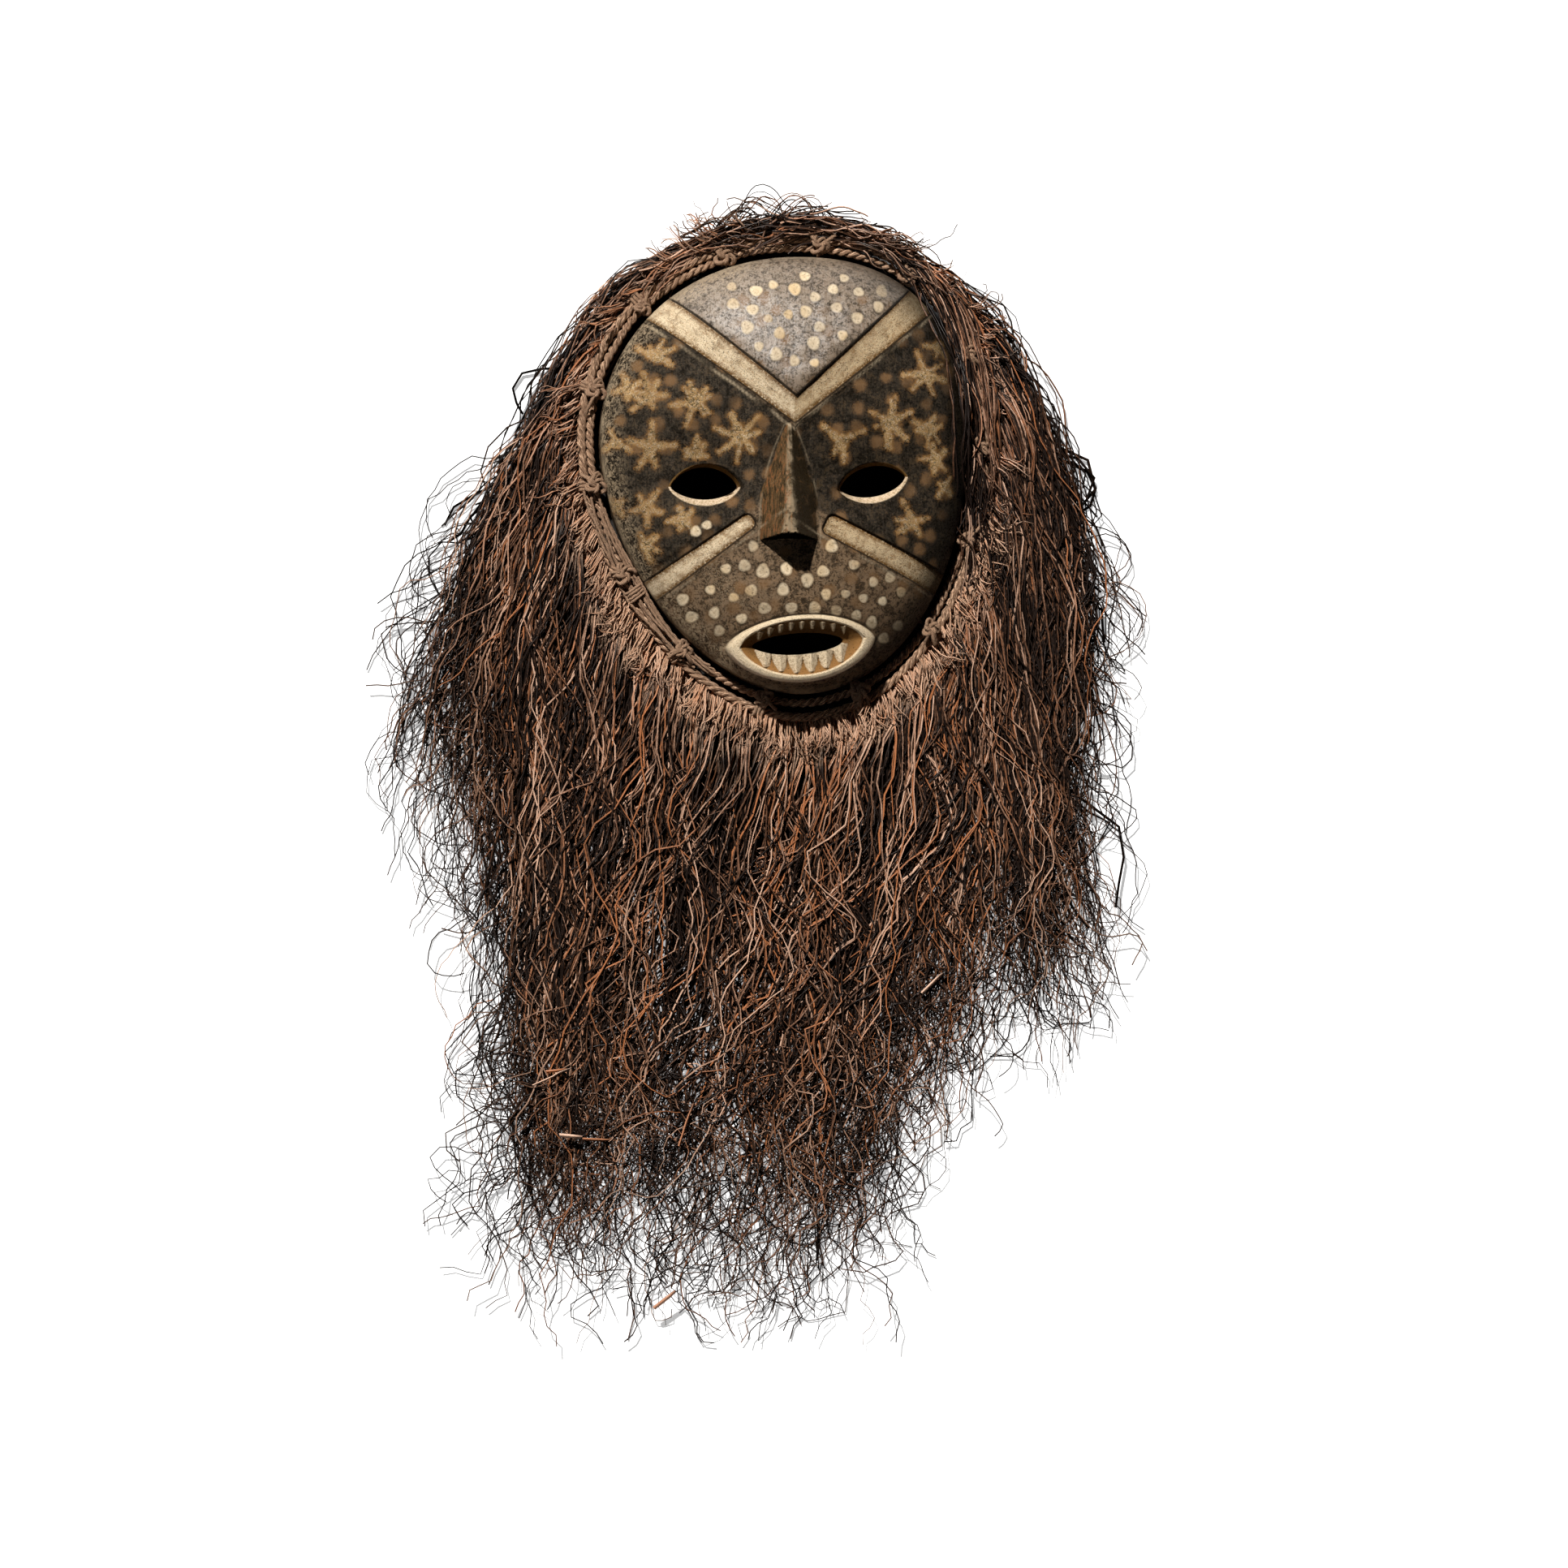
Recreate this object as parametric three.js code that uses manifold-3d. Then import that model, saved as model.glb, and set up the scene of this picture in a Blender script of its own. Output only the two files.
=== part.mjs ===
// A carved wooden face mask with a long fringe of plant fibre, lying face up.
// Millimetres, +X to the right of the face, +Y towards the crown, +Z out of the face.
// The wood is a hollow shell with almond eyes, a wedge nose, an open toothed mouth and four
// sunk bars. Two cords run round its rim. Knotted lashings, each through a hole in the rim,
// hold both cords, and the fringe hangs from the outer one in five bunches of locks.
import * as THREE from "three";
import { mergeVertices } from "three/addons/utils/BufferGeometryUtils.js";
import Module from "manifold-3d";

const wasm = await Module();
wasm.setup();

// Driving dimensions of the wood. The outline is four quarter superellipses round one centre.
const OUTLINE_CENTRE = 8;
const HALF_WIDTH_LEFT = 112.5;
const HALF_WIDTH_RIGHT = 95.5;
const CROWN = 103.5;
const CHIN = 143;
const SQUARENESS = { crownLeft: 2.05, crownRight: 2.35, chinLeft: 1.8, chinRight: 2.05 };
const WALL = 8;
const RIM_HEIGHT = 16;
const DOME_RISE = 42;
const DOME_FULLNESS = 2.4;
const DOME_ROUNDNESS = 0.52;
const SHELL_DEPTH = 12;

// Driving dimensions of the cords, the lashings and the fringe.
const GAP = 0.35;
const LOOP_GAP = 0.6;
const CORD_LEVEL = 9.5;
const RIM_CORD_RADIUS = 2.1;
const FRINGE_CORD_RADIUS = 2.6;
const LASHING_RADIUS = 1.2;
const LASHINGS = 14;
const KNOT_RADIUS = 3.2;
const HOLE_CLEARANCE = 0.45;
const FRINGE_ROOT_HEIGHT = 22;
const FRINGE_TIP_HEIGHT = 6;

// Distances out from the wood, measured square to its outline.
const RIM_CORD_OUT = 2 * LASHING_RADIUS + RIM_CORD_RADIUS + GAP + LOOP_GAP;
const FRINGE_CORD_OUT = RIM_CORD_OUT + RIM_CORD_RADIUS + GAP + FRINGE_CORD_RADIUS;
const FRINGE_OUT = FRINGE_CORD_OUT + FRINGE_CORD_RADIUS + GAP;

const WOOD = new THREE.MeshStandardMaterial({ color: 0x4a3f33, roughness: 0.5, metalness: 0 });
const CORD = new THREE.MeshStandardMaterial({ color: 0x8a6a50, roughness: 0.9, metalness: 0 });
const FIBRE = new THREE.MeshStandardMaterial({ color: 0x4a2a1c, roughness: 0.8, metalness: 0 });

const { degToRad, lerp, smoothstep } = THREE.MathUtils;

// Closed solids from loops of points, each loop with the same number of points.

function signedVolume({ attributes, index }) {
  const corner = (i) => new THREE.Vector3().fromBufferAttribute(attributes.position, index.getX(i));
  let sum = 0;
  for (let i = 0; i < index.count; i += 3) {
    sum += corner(i).dot(corner(i + 1).cross(corner(i + 2)));
  }
  return sum / 6;
}

// Makes a solid for cutting and joining, turned right side out.
function solidFrom(geometry) {
  const bare = geometry.clone();
  bare.deleteAttribute("normal");
  bare.deleteAttribute("uv");
  const merged = mergeVertices(bare, 1e-3);
  const triVerts = new Uint32Array(merged.index.array);
  if (signedVolume(merged) < 0) triVerts.reverse();
  const vertProperties = new Float32Array(merged.attributes.position.array);
  return new wasm.Manifold(new wasm.Mesh({ numProp: 3, vertProperties, triVerts }));
}

// Joins a stack of loops by quads. The first and last loops are closed by a fan from their middle.
function loft(loops) {
  const sides = loops[0].length;
  const positions = loops.flat();
  const triangles = [];
  for (let row = 0; row + 1 < loops.length; row++) {
    for (let i = 0; i < sides; i++) {
      const a = row * sides + i;
      const b = row * sides + ((i + 1) % sides);
      triangles.push([a, b, b + sides], [a, b + sides, a + sides]);
    }
  }
  for (const [row, turned] of [[0, true], [loops.length - 1, false]]) {
    const middle = positions.length;
    positions.push([0, 1, 2].map((k) => loops[row].reduce((sum, p) => sum + p[k], 0) / sides));
    for (let i = 0; i < sides; i++) {
      const a = row * sides + i;
      const b = row * sides + ((i + 1) % sides);
      triangles.push(turned ? [b, a, middle] : [a, b, middle]);
    }
  }
  const geometry = new THREE.BufferGeometry();
  geometry.setAttribute("position", new THREE.Float32BufferAttribute(positions.flat(), 3));
  geometry.setIndex(triangles.flat());
  return solidFrom(geometry);
}

function union(solids) {
  return solids.reduce((all, one) => all.add(one));
}

function meshOf(solid, name, material) {
  const { vertProperties, triVerts } = solid.getMesh();
  const geometry = new THREE.BufferGeometry();
  geometry.setAttribute("position", new THREE.BufferAttribute(new Float32Array(vertProperties), 3));
  geometry.setIndex(new THREE.BufferAttribute(new Uint32Array(triVerts), 1));
  geometry.computeVertexNormals();
  const mesh = new THREE.Mesh(geometry, material);
  mesh.name = name;
  return mesh;
}

// The face's outline. Shares run from 0 at the centre to 1 on the outline.

function quarter(x, y) {
  const left = x < OUTLINE_CENTRE;
  const low = y < 0;
  const corner = low
    ? (left ? SQUARENESS.chinLeft : SQUARENESS.chinRight)
    : (left ? SQUARENESS.crownLeft : SQUARENESS.crownRight);
  return [left ? HALF_WIDTH_LEFT : HALF_WIDTH_RIGHT, low ? CHIN : CROWN, corner];
}

function outlineShare(x, y) {
  const [a, b, n] = quarter(x, y);
  const [u, v] = [Math.abs(x - OUTLINE_CENTRE) / a, Math.abs(y) / b];
  return Math.min(1, Math.pow(Math.pow(u, n) + Math.pow(v, n), 1 / n));
}

function outlineNormal(angle) {
  const p = outlinePoint(angle);
  const [a, b, n] = quarter(p.x, p.y);
  const across = p.x - OUTLINE_CENTRE;
  const slope = (part, half) => (Math.sign(part) * Math.pow(Math.abs(part) / half, n - 1)) / half;
  return new THREE.Vector2(slope(across, a), slope(p.y, b)).normalize();
}

function outlinePoint(angle, out = 0) {
  const [c, s] = [Math.cos(angle), Math.sin(angle)];
  const [a, b, n] = quarter(OUTLINE_CENTRE + c, s);
  const radius = Math.pow(Math.pow(Math.abs(c) / a, n) + Math.pow(Math.abs(s) / b, n), -1 / n);
  const point = new THREE.Vector2(OUTLINE_CENTRE + radius * c, radius * s);
  return out === 0 ? point : point.addScaledVector(outlineNormal(angle), out);
}

// The carved surface of the face, as a height over the plane that the rim rests on.

const BROW_MEETING = new THREE.Vector2(2, 15);
const BARS = [
  { from: [4, 13], to: [-80, 79], fromWidth: 11, toWidth: 17 },
  { from: [0, 13], to: [80, 82], fromWidth: 10, toWidth: 17 },
  { from: [-22, -46], to: [-84, -91], fromWidth: 8, toWidth: 12 },
  { from: [19, -48], to: [92, -84], fromWidth: 11, toWidth: 12 },
];
const BAR_DEPTH = 2.2;
const BAR_BEVEL = 0.45;
const FOREHEAD_STEP = 4;
const SOCKETS = [
  { at: [-46, -20], height: -7, spread: [40, 24] },
  { at: [44, -20], height: -7, spread: [38, 24] },
];
const MUZZLE = { at: [5, -98], height: 9, spread: [46, 36] };

function dome(x, y) {
  const share = outlineShare(x, y);
  return RIM_HEIGHT + DOME_RISE * Math.pow(1 - Math.pow(share, DOME_FULLNESS), DOME_ROUNDNESS);
}

function swell({ at, height, spread }, x, y) {
  return height * Math.exp(-(((x - at[0]) / spread[0]) ** 2) - ((y - at[1]) / spread[1]) ** 2);
}

// How far a point lies above the line of a bar.
function aboveBar({ from, to }, x, y) {
  const slope = (to[1] - from[1]) / (to[0] - from[0]);
  return (y - from[1] - slope * (x - from[0])) / Math.hypot(1, slope);
}

function faceHeight(x, y) {
  const side = x < BROW_MEETING.x ? 0 : 1;
  const brow = aboveBar(BARS[side], x, y);
  const cheek = aboveBar(BARS[side + 2], x, y);
  const forehead = FOREHEAD_STEP * smoothstep(brow, -6, 14);
  const sockets = SOCKETS.reduce((sum, socket) => sum + swell(socket, x, y), 0);
  const between = (1 - smoothstep(brow, -12, 0)) * smoothstep(cheek, -2, 8);
  const edge = 1 - Math.pow(outlineShare(x, y), 8);
  return dome(x, y) + edge * (forehead + sockets * between + swell(MUZZLE, x, y));
}

function ringAt(share, sides, out, height) {
  return Array.from({ length: sides }, (_, i) => {
    const p = outlinePoint((i / sides) * 2 * Math.PI, out);
    const x = lerp(OUTLINE_CENTRE, p.x, share);
    const y = p.y * share;
    return [x, y, height(x, y)];
  });
}

function shell() {
  const outerShares = [1, 0.99, 0.955, 0.9, 0.82, 0.72, 0.6, 0.46, 0.28];
  const outer = loft([
    ringAt(1, 48, 0, () => 0),
    ...outerShares.map((share) => ringAt(share, 48, 0, faceHeight)),
  ]);
  const roof = (x, y) => dome(x, y) + 0.8 * swell(MUZZLE, x, y) - SHELL_DEPTH;
  const innerShares = [1, 0.93, 0.78, 0.55, 0.28];
  const cavity = loft([
    ringAt(1, 36, -WALL, () => -5),
    ...innerShares.map((share) => ringAt(share, 36, -WALL, roof)),
  ]);
  return outer.subtract(cavity);
}

// An almond: pointed at both ends, with its own height above and below the line of its tips.
function almond({ at, width, above, below, turn, point }, sides, grow = 1) {
  const [c, s] = [Math.cos(degToRad(turn)), Math.sin(degToRad(turn))];
  return Array.from({ length: sides }, (_, i) => {
    const t = (i / sides) * 2 * Math.PI;
    const across = (Math.cos(t) * width * grow) / 2;
    const reach = Math.sin(t) > 0 ? above : below;
    const up = Math.sign(Math.sin(t)) * Math.abs(Math.sin(t)) ** point * reach * grow;
    return [at[0] + across * c - up * s, at[1] + across * s + up * c];
  });
}

const EYES = [
  { at: [-48, -28], width: 37, above: 11, below: 7, turn: 0, point: 1.4 },
  { at: [46.5, -25.5], width: 37, above: 9.5, below: 7.5, turn: 11, point: 1.4 },
];
const LID = { ends: 1.5, above: 1.8, below: 3.6, depth: 4.5 };

// The eye hole widens towards the front into two bevelled lids, the lower one wider.
function eyeHole(eye) {
  const level = faceHeight(...eye.at);
  const opened = (share) => ({
    ...eye,
    width: eye.width + 2 * LID.ends * share,
    above: eye.above + LID.above * share,
    below: eye.below + LID.below * share,
  });
  const rows = [[0, 0.6], [level - 14, 0], [level - LID.depth, 0], [level + LID.depth, 2]];
  return loft(rows.map(([z, share]) => almond(opened(share), 16).map(([x, y]) => [x, y, z])));
}

// The nose is a wedge with two flat flanks and a flat underside.
const NOSE = { x: -1.5, ridgeX: -2.8, bridge: 7, base: -58, halfWidth: 16, rise: 26 };

function nose() {
  const steps = [0, 0.12, 0.26, 0.42, 0.62, 0.82, 1];
  return loft(
    steps.map((t) => {
      const y = lerp(NOSE.bridge, NOSE.base, t);
      const half = lerp(1.5, NOSE.halfWidth, 1 - Math.pow(1 - t, 2.2));
      const foot = faceHeight(NOSE.x, y);
      const ridgeX = lerp(NOSE.x, NOSE.ridgeX, t);
      const crest = foot + 0.5 + NOSE.rise * Math.pow(t, 0.85);
      return [
        [NOSE.x - half, y, foot - 6],
        [NOSE.x - half, y, foot - 1],
        [ridgeX - 1, y + 3 * t, crest],
        [ridgeX + 1, y + 3 * t, crest],
        [NOSE.x + half, y, foot - 1],
        [NOSE.x + half, y, foot - 6],
      ];
    }),
  );
}

// The mouth is a raised almond of lips round a sunk bowl, with a slot right through and teeth.
const MOUTH = { at: [6.5, -115], width: 81, above: 15, below: 21, turn: 4, point: 1.3 };
const SLOT = { at: [4.5, -115], width: 51, above: 5.5, below: 6.5, turn: 4, point: 1.2 };
const LIP_LEVEL = 53;
const LIP_SLOPE = 0.24;
const LIP_DROOP = 9;
const BOWL_DEPTH = 8;
const TEETH = [
  { side: -1, count: 6, pitch: 8.6, root: 0.16, tip: 0.44, rise: 2.6 },
  { side: 1, count: 6, pitch: 7.4, root: 0.46, tip: 0.12, rise: 2.2 },
];

function lipHeight(x, y) {
  const across = (x - MOUTH.at[0]) / (MOUTH.width / 2);
  return LIP_LEVEL + LIP_SLOPE * (y - MOUTH.at[1]) - LIP_DROOP * across * across;
}

function mouthRing(shape, grow, drop) {
  return almond(shape, 24, grow).map(([x, y]) => [x, y, lipHeight(x, y) - drop]);
}

// The lips stand on a foot that is sunk in the face.
function lips() {
  return loft([
    almond(MOUTH, 24, 1.05).map(([x, y]) => [x, y, faceHeight(x, y) - 6]),
    mouthRing(MOUTH, 1.02, 4),
    mouthRing(MOUTH, 1, 0.9),
    mouthRing(MOUTH, 0.96, 0),
    mouthRing(MOUTH, 0.9, 0),
  ]);
}

function mouthCutter() {
  return loft([
    almond(SLOT, 24, 1.15).map(([x, y]) => [x, y, 5]),
    mouthRing(SLOT, 1, BOWL_DEPTH),
    mouthRing(MOUTH, 0.88, 0.6),
    mouthRing(MOUTH, 0.93, -12),
  ]);
}

// One row of teeth. Each is a wedge on the bowl's slope, from the lip down to the slot.
function teeth({ side, count, pitch, root, tip, rise }) {
  const [c, s] = [Math.cos(degToRad(MOUTH.turn)), Math.sin(degToRad(MOUTH.turn))];
  const place = (across, up, z) => [
    MOUTH.at[0] + across * c - up * s,
    MOUTH.at[1] + across * s + up * c,
    z,
  ];
  const lipReach = side < 0 ? MOUTH.below : MOUTH.above;
  const slotReach = side < 0 ? SLOT.below : SLOT.above;
  return Array.from({ length: count }, (_, i) => {
    const across = (i - (count - 1) / 2) * pitch;
    const arc = (reach, width) => side * reach * (1 - ((2 * across) / width) ** 2);
    const section = (up, half, drop) => {
      const z = lipHeight(...place(across, up, 0)) - drop;
      return [
        place(across - half, up, z - 6),
        place(across - half, up, z - 1),
        place(across, up, z + rise * 0.5),
        place(across + half, up, z - 1),
        place(across + half, up, z - 6),
      ];
    };
    return loft([
      section(arc(lipReach * 0.84, MOUTH.width), pitch * root, 1.6),
      section(arc(slotReach * 0.92, SLOT.width * 1.05), pitch * tip, BOWL_DEPTH - rise),
    ]);
  });
}

// A sunk bar: a flat-floored strip that follows the face at a constant depth.
function barCutter({ from, to, fromWidth, toWidth }) {
  const start = new THREE.Vector2(...from);
  const end = new THREE.Vector2(...to);
  const along = end.clone().sub(start).normalize();
  const across = new THREE.Vector2(-along.y, along.x);
  const steps = 5;
  return loft(
    Array.from({ length: steps + 1 }, (_, i) => {
      const t = i / steps;
      const middle = start.clone().lerp(end, t);
      const half = lerp(fromWidth, toWidth, t) / 2;
      const corner = (side, lift) => {
        const p = middle.clone().addScaledVector(across, side * half);
        const held = Math.min(1, 0.985 / outlineShare(p.x, p.y));
        const level = faceHeight(lerp(OUTLINE_CENTRE, p.x, held), p.y * held);
        p.addScaledVector(across, side * (lift + BAR_DEPTH) * BAR_BEVEL);
        return [p.x, p.y, level + lift];
      };
      return [corner(-1, -BAR_DEPTH), corner(1, -BAR_DEPTH), corner(1, 12), corner(-1, 12)];
    }),
  );
}

// Cords and lashings.

function ringCord(out, radius) {
  const points = Array.from({ length: 48 }, (_, i) => {
    const p = outlinePoint((i / 48) * 2 * Math.PI, out);
    return new THREE.Vector3(p.x, p.y, CORD_LEVEL);
  });
  const path = new THREE.CatmullRomCurve3(points, true);
  return solidFrom(new THREE.TubeGeometry(path, 42, radius, 5, true));
}

// Angles that share the rim's length out evenly, so that the lashings stand equally far apart.
function evenRimAngles(count, first) {
  const steps = 720;
  const lengths = [0];
  for (let i = 1; i <= steps; i++) {
    const a = outlinePoint(first + ((i - 1) / steps) * 2 * Math.PI);
    const b = outlinePoint(first + (i / steps) * 2 * Math.PI);
    lengths.push(lengths[i - 1] + a.distanceTo(b));
  }
  return Array.from({ length: count }, (_, k) => {
    const step = lengths.findIndex((length) => length >= (k / count) * lengths[steps]);
    return first + (step / steps) * 2 * Math.PI;
  });
}

// A lashing is drawn in the upright plane that stands square to the rim at its angle.
const LOOP_REACH = FRINGE_CORD_RADIUS + LOOP_GAP + LASHING_RADIUS;
const LOOP_INNER = RIM_CORD_OUT - RIM_CORD_RADIUS - LOOP_GAP - LASHING_RADIUS + LOOP_REACH;
const STEM_LEVEL = CORD_LEVEL + LOOP_REACH;
const STEM_INNER = -WALL - KNOT_RADIUS - 0.8;

function lashingPlace(angle) {
  const outward = outlineNormal(angle);
  const foot = outlinePoint(angle);
  return (out, z, side = 0) => [
    foot.x + outward.x * out - outward.y * side,
    foot.y + outward.y * out + outward.x * side,
    z,
  ];
}

function lashingStem(angle, radius) {
  const place = lashingPlace(angle);
  return loft(
    [STEM_INNER, LOOP_INNER + 1].map((out) =>
      Array.from({ length: 4 }, (_, i) => {
        const t = (i / 4) * 2 * Math.PI;
        return place(out, STEM_LEVEL + radius * Math.sin(t), radius * Math.cos(t));
      }),
    ),
  );
}

// The loop's course round both cords, as a stadium.
function stadium(angle, reach, side = 0) {
  const place = lashingPlace(angle);
  return Array.from({ length: 8 }, (_, i) => {
    const t = ((i + 0.5) / 8) * 2 * Math.PI;
    const centre = Math.cos(t) > 0 ? FRINGE_CORD_OUT : LOOP_INNER;
    return place(centre + reach * Math.cos(t), CORD_LEVEL + reach * Math.sin(t), side);
  });
}

function lashingLoop(angle) {
  const points = stadium(angle, LOOP_REACH).map((p) => new THREE.Vector3(...p));
  const path = new THREE.CatmullRomCurve3(points, true, "catmullrom", 0.5);
  return solidFrom(new THREE.TubeGeometry(path, 8, LASHING_RADIUS, 4, true));
}

// The slot that a lashing needs in the fringe.
function lashingSlot(angle) {
  const clear = LASHING_RADIUS + HOLE_CLEARANCE;
  return loft([-clear, clear].map((side) => stadium(angle, LOOP_REACH + clear, side)));
}

function lashing(angle) {
  const knot = new THREE.IcosahedronGeometry(KNOT_RADIUS, 0);
  knot.translate(...lashingPlace(angle)(STEM_INNER, STEM_LEVEL));
  return union([
    lashingLoop(angle),
    lashingStem(angle, LASHING_RADIUS),
    solidFrom(knot),
  ]);
}

// The fringe. Each row is one leading strand: its root on the rim in degrees, then the control
// points of its curve, which runs out from the rim, falls, and ends at the tip.
const LEADING_STRANDS = [
  { rim: 98, reach: [-84, 132], fall: [-186, 45], tip: [-225, -155] },
  { rim: 122, reach: [-125, 105], fall: [-190, -60], tip: [-206, -228] },
  { rim: 150, reach: [-142, 30], fall: [-176, -130], tip: [-183, -298] },
  { rim: 180, reach: [-130, -60], fall: [-160, -200], tip: [-168, -355] },
  { rim: 207, reach: [-108, -130], fall: [-150, -290], tip: [-166, -432] },
  { rim: 232, reach: [-75, -180], fall: [-120, -350], tip: [-137, -474] },
  { rim: 253, reach: [-32, -200], fall: [-68, -370], tip: [-78, -484] },
  { rim: 273, reach: [12, -200], fall: [-18, -380], tip: [-18, -486] },
  { rim: 295, reach: [58, -190], fall: [34, -370], tip: [42, -474] },
  { rim: 318, reach: [94, -150], fall: [92, -300], tip: [88, -418] },
  { rim: 342, reach: [125, -95], fall: [140, -230], tip: [140, -356] },
  { rim: 370, reach: [138, -5], fall: [168, -150], tip: [170, -330] },
  { rim: 402, reach: [136, 80], fall: [182, -60], tip: [186, -245] },
  { rim: 440, reach: [118, 130], fall: [200, 20], tip: [194, -168] },
];
const leadingLine = (pick) =>
  new THREE.CatmullRomCurve3(LEADING_STRANDS.map((row) => new THREE.Vector3(...pick(row), 0)));
const rimLine = leadingLine((row) => [row.rim, 0]);
const reachLine = leadingLine((row) => row.reach);
const fallLine = leadingLine((row) => row.fall);
const tipLine = leadingLine((row) => row.tip);

// The strand at share u round the rim.
function strand(u) {
  const root = outlinePoint(degToRad(rimLine.getPoint(u).x), FRINGE_OUT);
  return new THREE.CubicBezierCurve3(
    new THREE.Vector3(root.x, root.y, 0),
    reachLine.getPoint(u),
    fallLine.getPoint(u),
    tipLine.getPoint(u),
  );
}

// A lock of fringe between two strands, flat on the ground and thinner towards its tip.
const LOCK_LENGTHS = [1, 0.95, 0.985, 0.93];
const LOCK_SECTION = [[-1, 0], [1, 0], [0.8, 0.75], [0, 1], [-0.8, 0.75]];

function lock(u0, u1, rings, number) {
  const [left, right] = [strand(u0), strand(u1)];
  const thickness = number % 2 === 0 ? 1 : 0.8;
  return loft(
    rings.map((share) => {
      const s = share * LOCK_LENGTHS[number % LOCK_LENGTHS.length];
      const [a, b] = [left.getPoint(s), right.getPoint(s)];
      const height = lerp(FRINGE_ROOT_HEIGHT, FRINGE_TIP_HEIGHT, Math.pow(s, 0.7)) * thickness;
      const fullness = 1 - 0.5 * smoothstep(s, 0.6, 1);
      return LOCK_SECTION.map(([side, up]) => {
        const across = 0.5 + 0.5 * fullness * side;
        return [lerp(a.x, b.x, across), lerp(a.y, b.y, across), GAP + height * up];
      });
    }),
  );
}

const BUNCHES = [
  { name: "hair_left", from: 0, to: 0.26, locks: 5, rings: [0, 0.14, 0.3, 0.5, 0.74, 1] },
  { name: "beard_left", from: 0.26, to: 0.535, locks: 5, rings: [0, 0.17, 0.42, 0.7, 1] },
  { name: "beard_right", from: 0.535, to: 0.76, locks: 4, rings: [0, 0.17, 0.42, 0.7, 1] },
  { name: "hair_right", from: 0.76, to: 1, locks: 5, rings: [0, 0.14, 0.3, 0.5, 0.74, 1] },
];
const BUNCH_GAP = 0.001;
const LOCK_OVERLAP = 0.15;

function bunch({ from, to, locks, rings }) {
  const [low, high] = [from + BUNCH_GAP, to - BUNCH_GAP];
  const pitch = (high - low) / locks;
  return union(
    Array.from({ length: locks }, (_, i) => {
      const u0 = Math.max(low, low + pitch * (i - LOCK_OVERLAP));
      const u1 = Math.min(high, low + pitch * (i + 1 + LOCK_OVERLAP));
      return lock(u0, u1, rings, i);
    }),
  );
}

// The crest is a mound of fibre laid along the top of the rim.
const CREST = [
  { at: [-74, 117], half: 2.5, height: 14 },
  { at: [-44, 127.5], half: 8, height: 22 },
  { at: [-6, 134], half: 14, height: 28 },
  { at: [38, 131], half: 11, height: 24 },
  { at: [84, 116.5], half: 2.5, height: 14 },
];

function crest() {
  const path = new THREE.CatmullRomCurve3(CREST.map(({ at }) => new THREE.Vector3(...at, 0)));
  const sizes = new THREE.CatmullRomCurve3(
    CREST.map(({ half, height }) => new THREE.Vector3(half, height, 0)),
  );
  const steps = 7;
  return loft(
    Array.from({ length: steps + 1 }, (_, j) => {
      const middle = path.getPoint(j / steps);
      const along = path.getTangent(j / steps);
      const { x: half, y: height } = sizes.getPoint(j / steps);
      return Array.from({ length: 8 }, (_, i) => {
        const t = ((i + 0.5) / 8) * 2 * Math.PI;
        const side = half * Math.cos(t);
        const up = GAP + height * (0.5 + 0.5 * Math.sin(t));
        return [middle.x - along.y * side, middle.y + along.x * side, up];
      });
    }),
  );
}

// Assembly.

const lashingAngles = evenRimAngles(LASHINGS, degToRad(84));

let wood = union([shell(), nose(), lips()]).subtract(mouthCutter());
wood = union([wood, ...TEETH.flatMap(teeth)]);
for (const eye of EYES) wood = wood.subtract(eyeHole(eye));
for (const bar of BARS) wood = wood.subtract(barCutter(bar));
for (const angle of lashingAngles) {
  wood = wood.subtract(lashingStem(angle, LASHING_RADIUS + HOLE_CLEARANCE));
}

const part = new THREE.Group();
part.name = "fringed_mask";
part.add(meshOf(wood, "mask", WOOD));
part.add(meshOf(ringCord(RIM_CORD_OUT, RIM_CORD_RADIUS), "rim_cord", CORD));
part.add(meshOf(ringCord(FRINGE_CORD_OUT, FRINGE_CORD_RADIUS), "fringe_cord", CORD));
lashingAngles.forEach((angle, i) => {
  const name = `lashing_${String(i + 1).padStart(2, "0")}`;
  part.add(meshOf(lashing(angle), name, CORD));
});

// Everything inside this upright wall belongs to the wood and the cords.
const rimWall = loft([-5, 60].map((z) => ringAt(1, 60, FRINGE_OUT, () => z)));
const keepOut = union([rimWall, ...lashingAngles.map(lashingSlot)]);
let fringe = null;
for (const row of BUNCHES) {
  const solid = bunch(row).subtract(keepOut);
  part.add(meshOf(solid, row.name, FIBRE));
  fringe = fringe ? fringe.add(solid) : solid;
}
part.add(meshOf(crest().subtract(keepOut).subtract(fringe), "crest", FIBRE));

// The frame's origin is under the middle of the whole object.
const bounds = new THREE.Box3().setFromObject(part);
const middle = bounds.getCenter(new THREE.Vector3());
part.position.set(-middle.x, -middle.y, -bounds.min.z);

const root = new THREE.Group();
root.add(part);
export default root;
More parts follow.
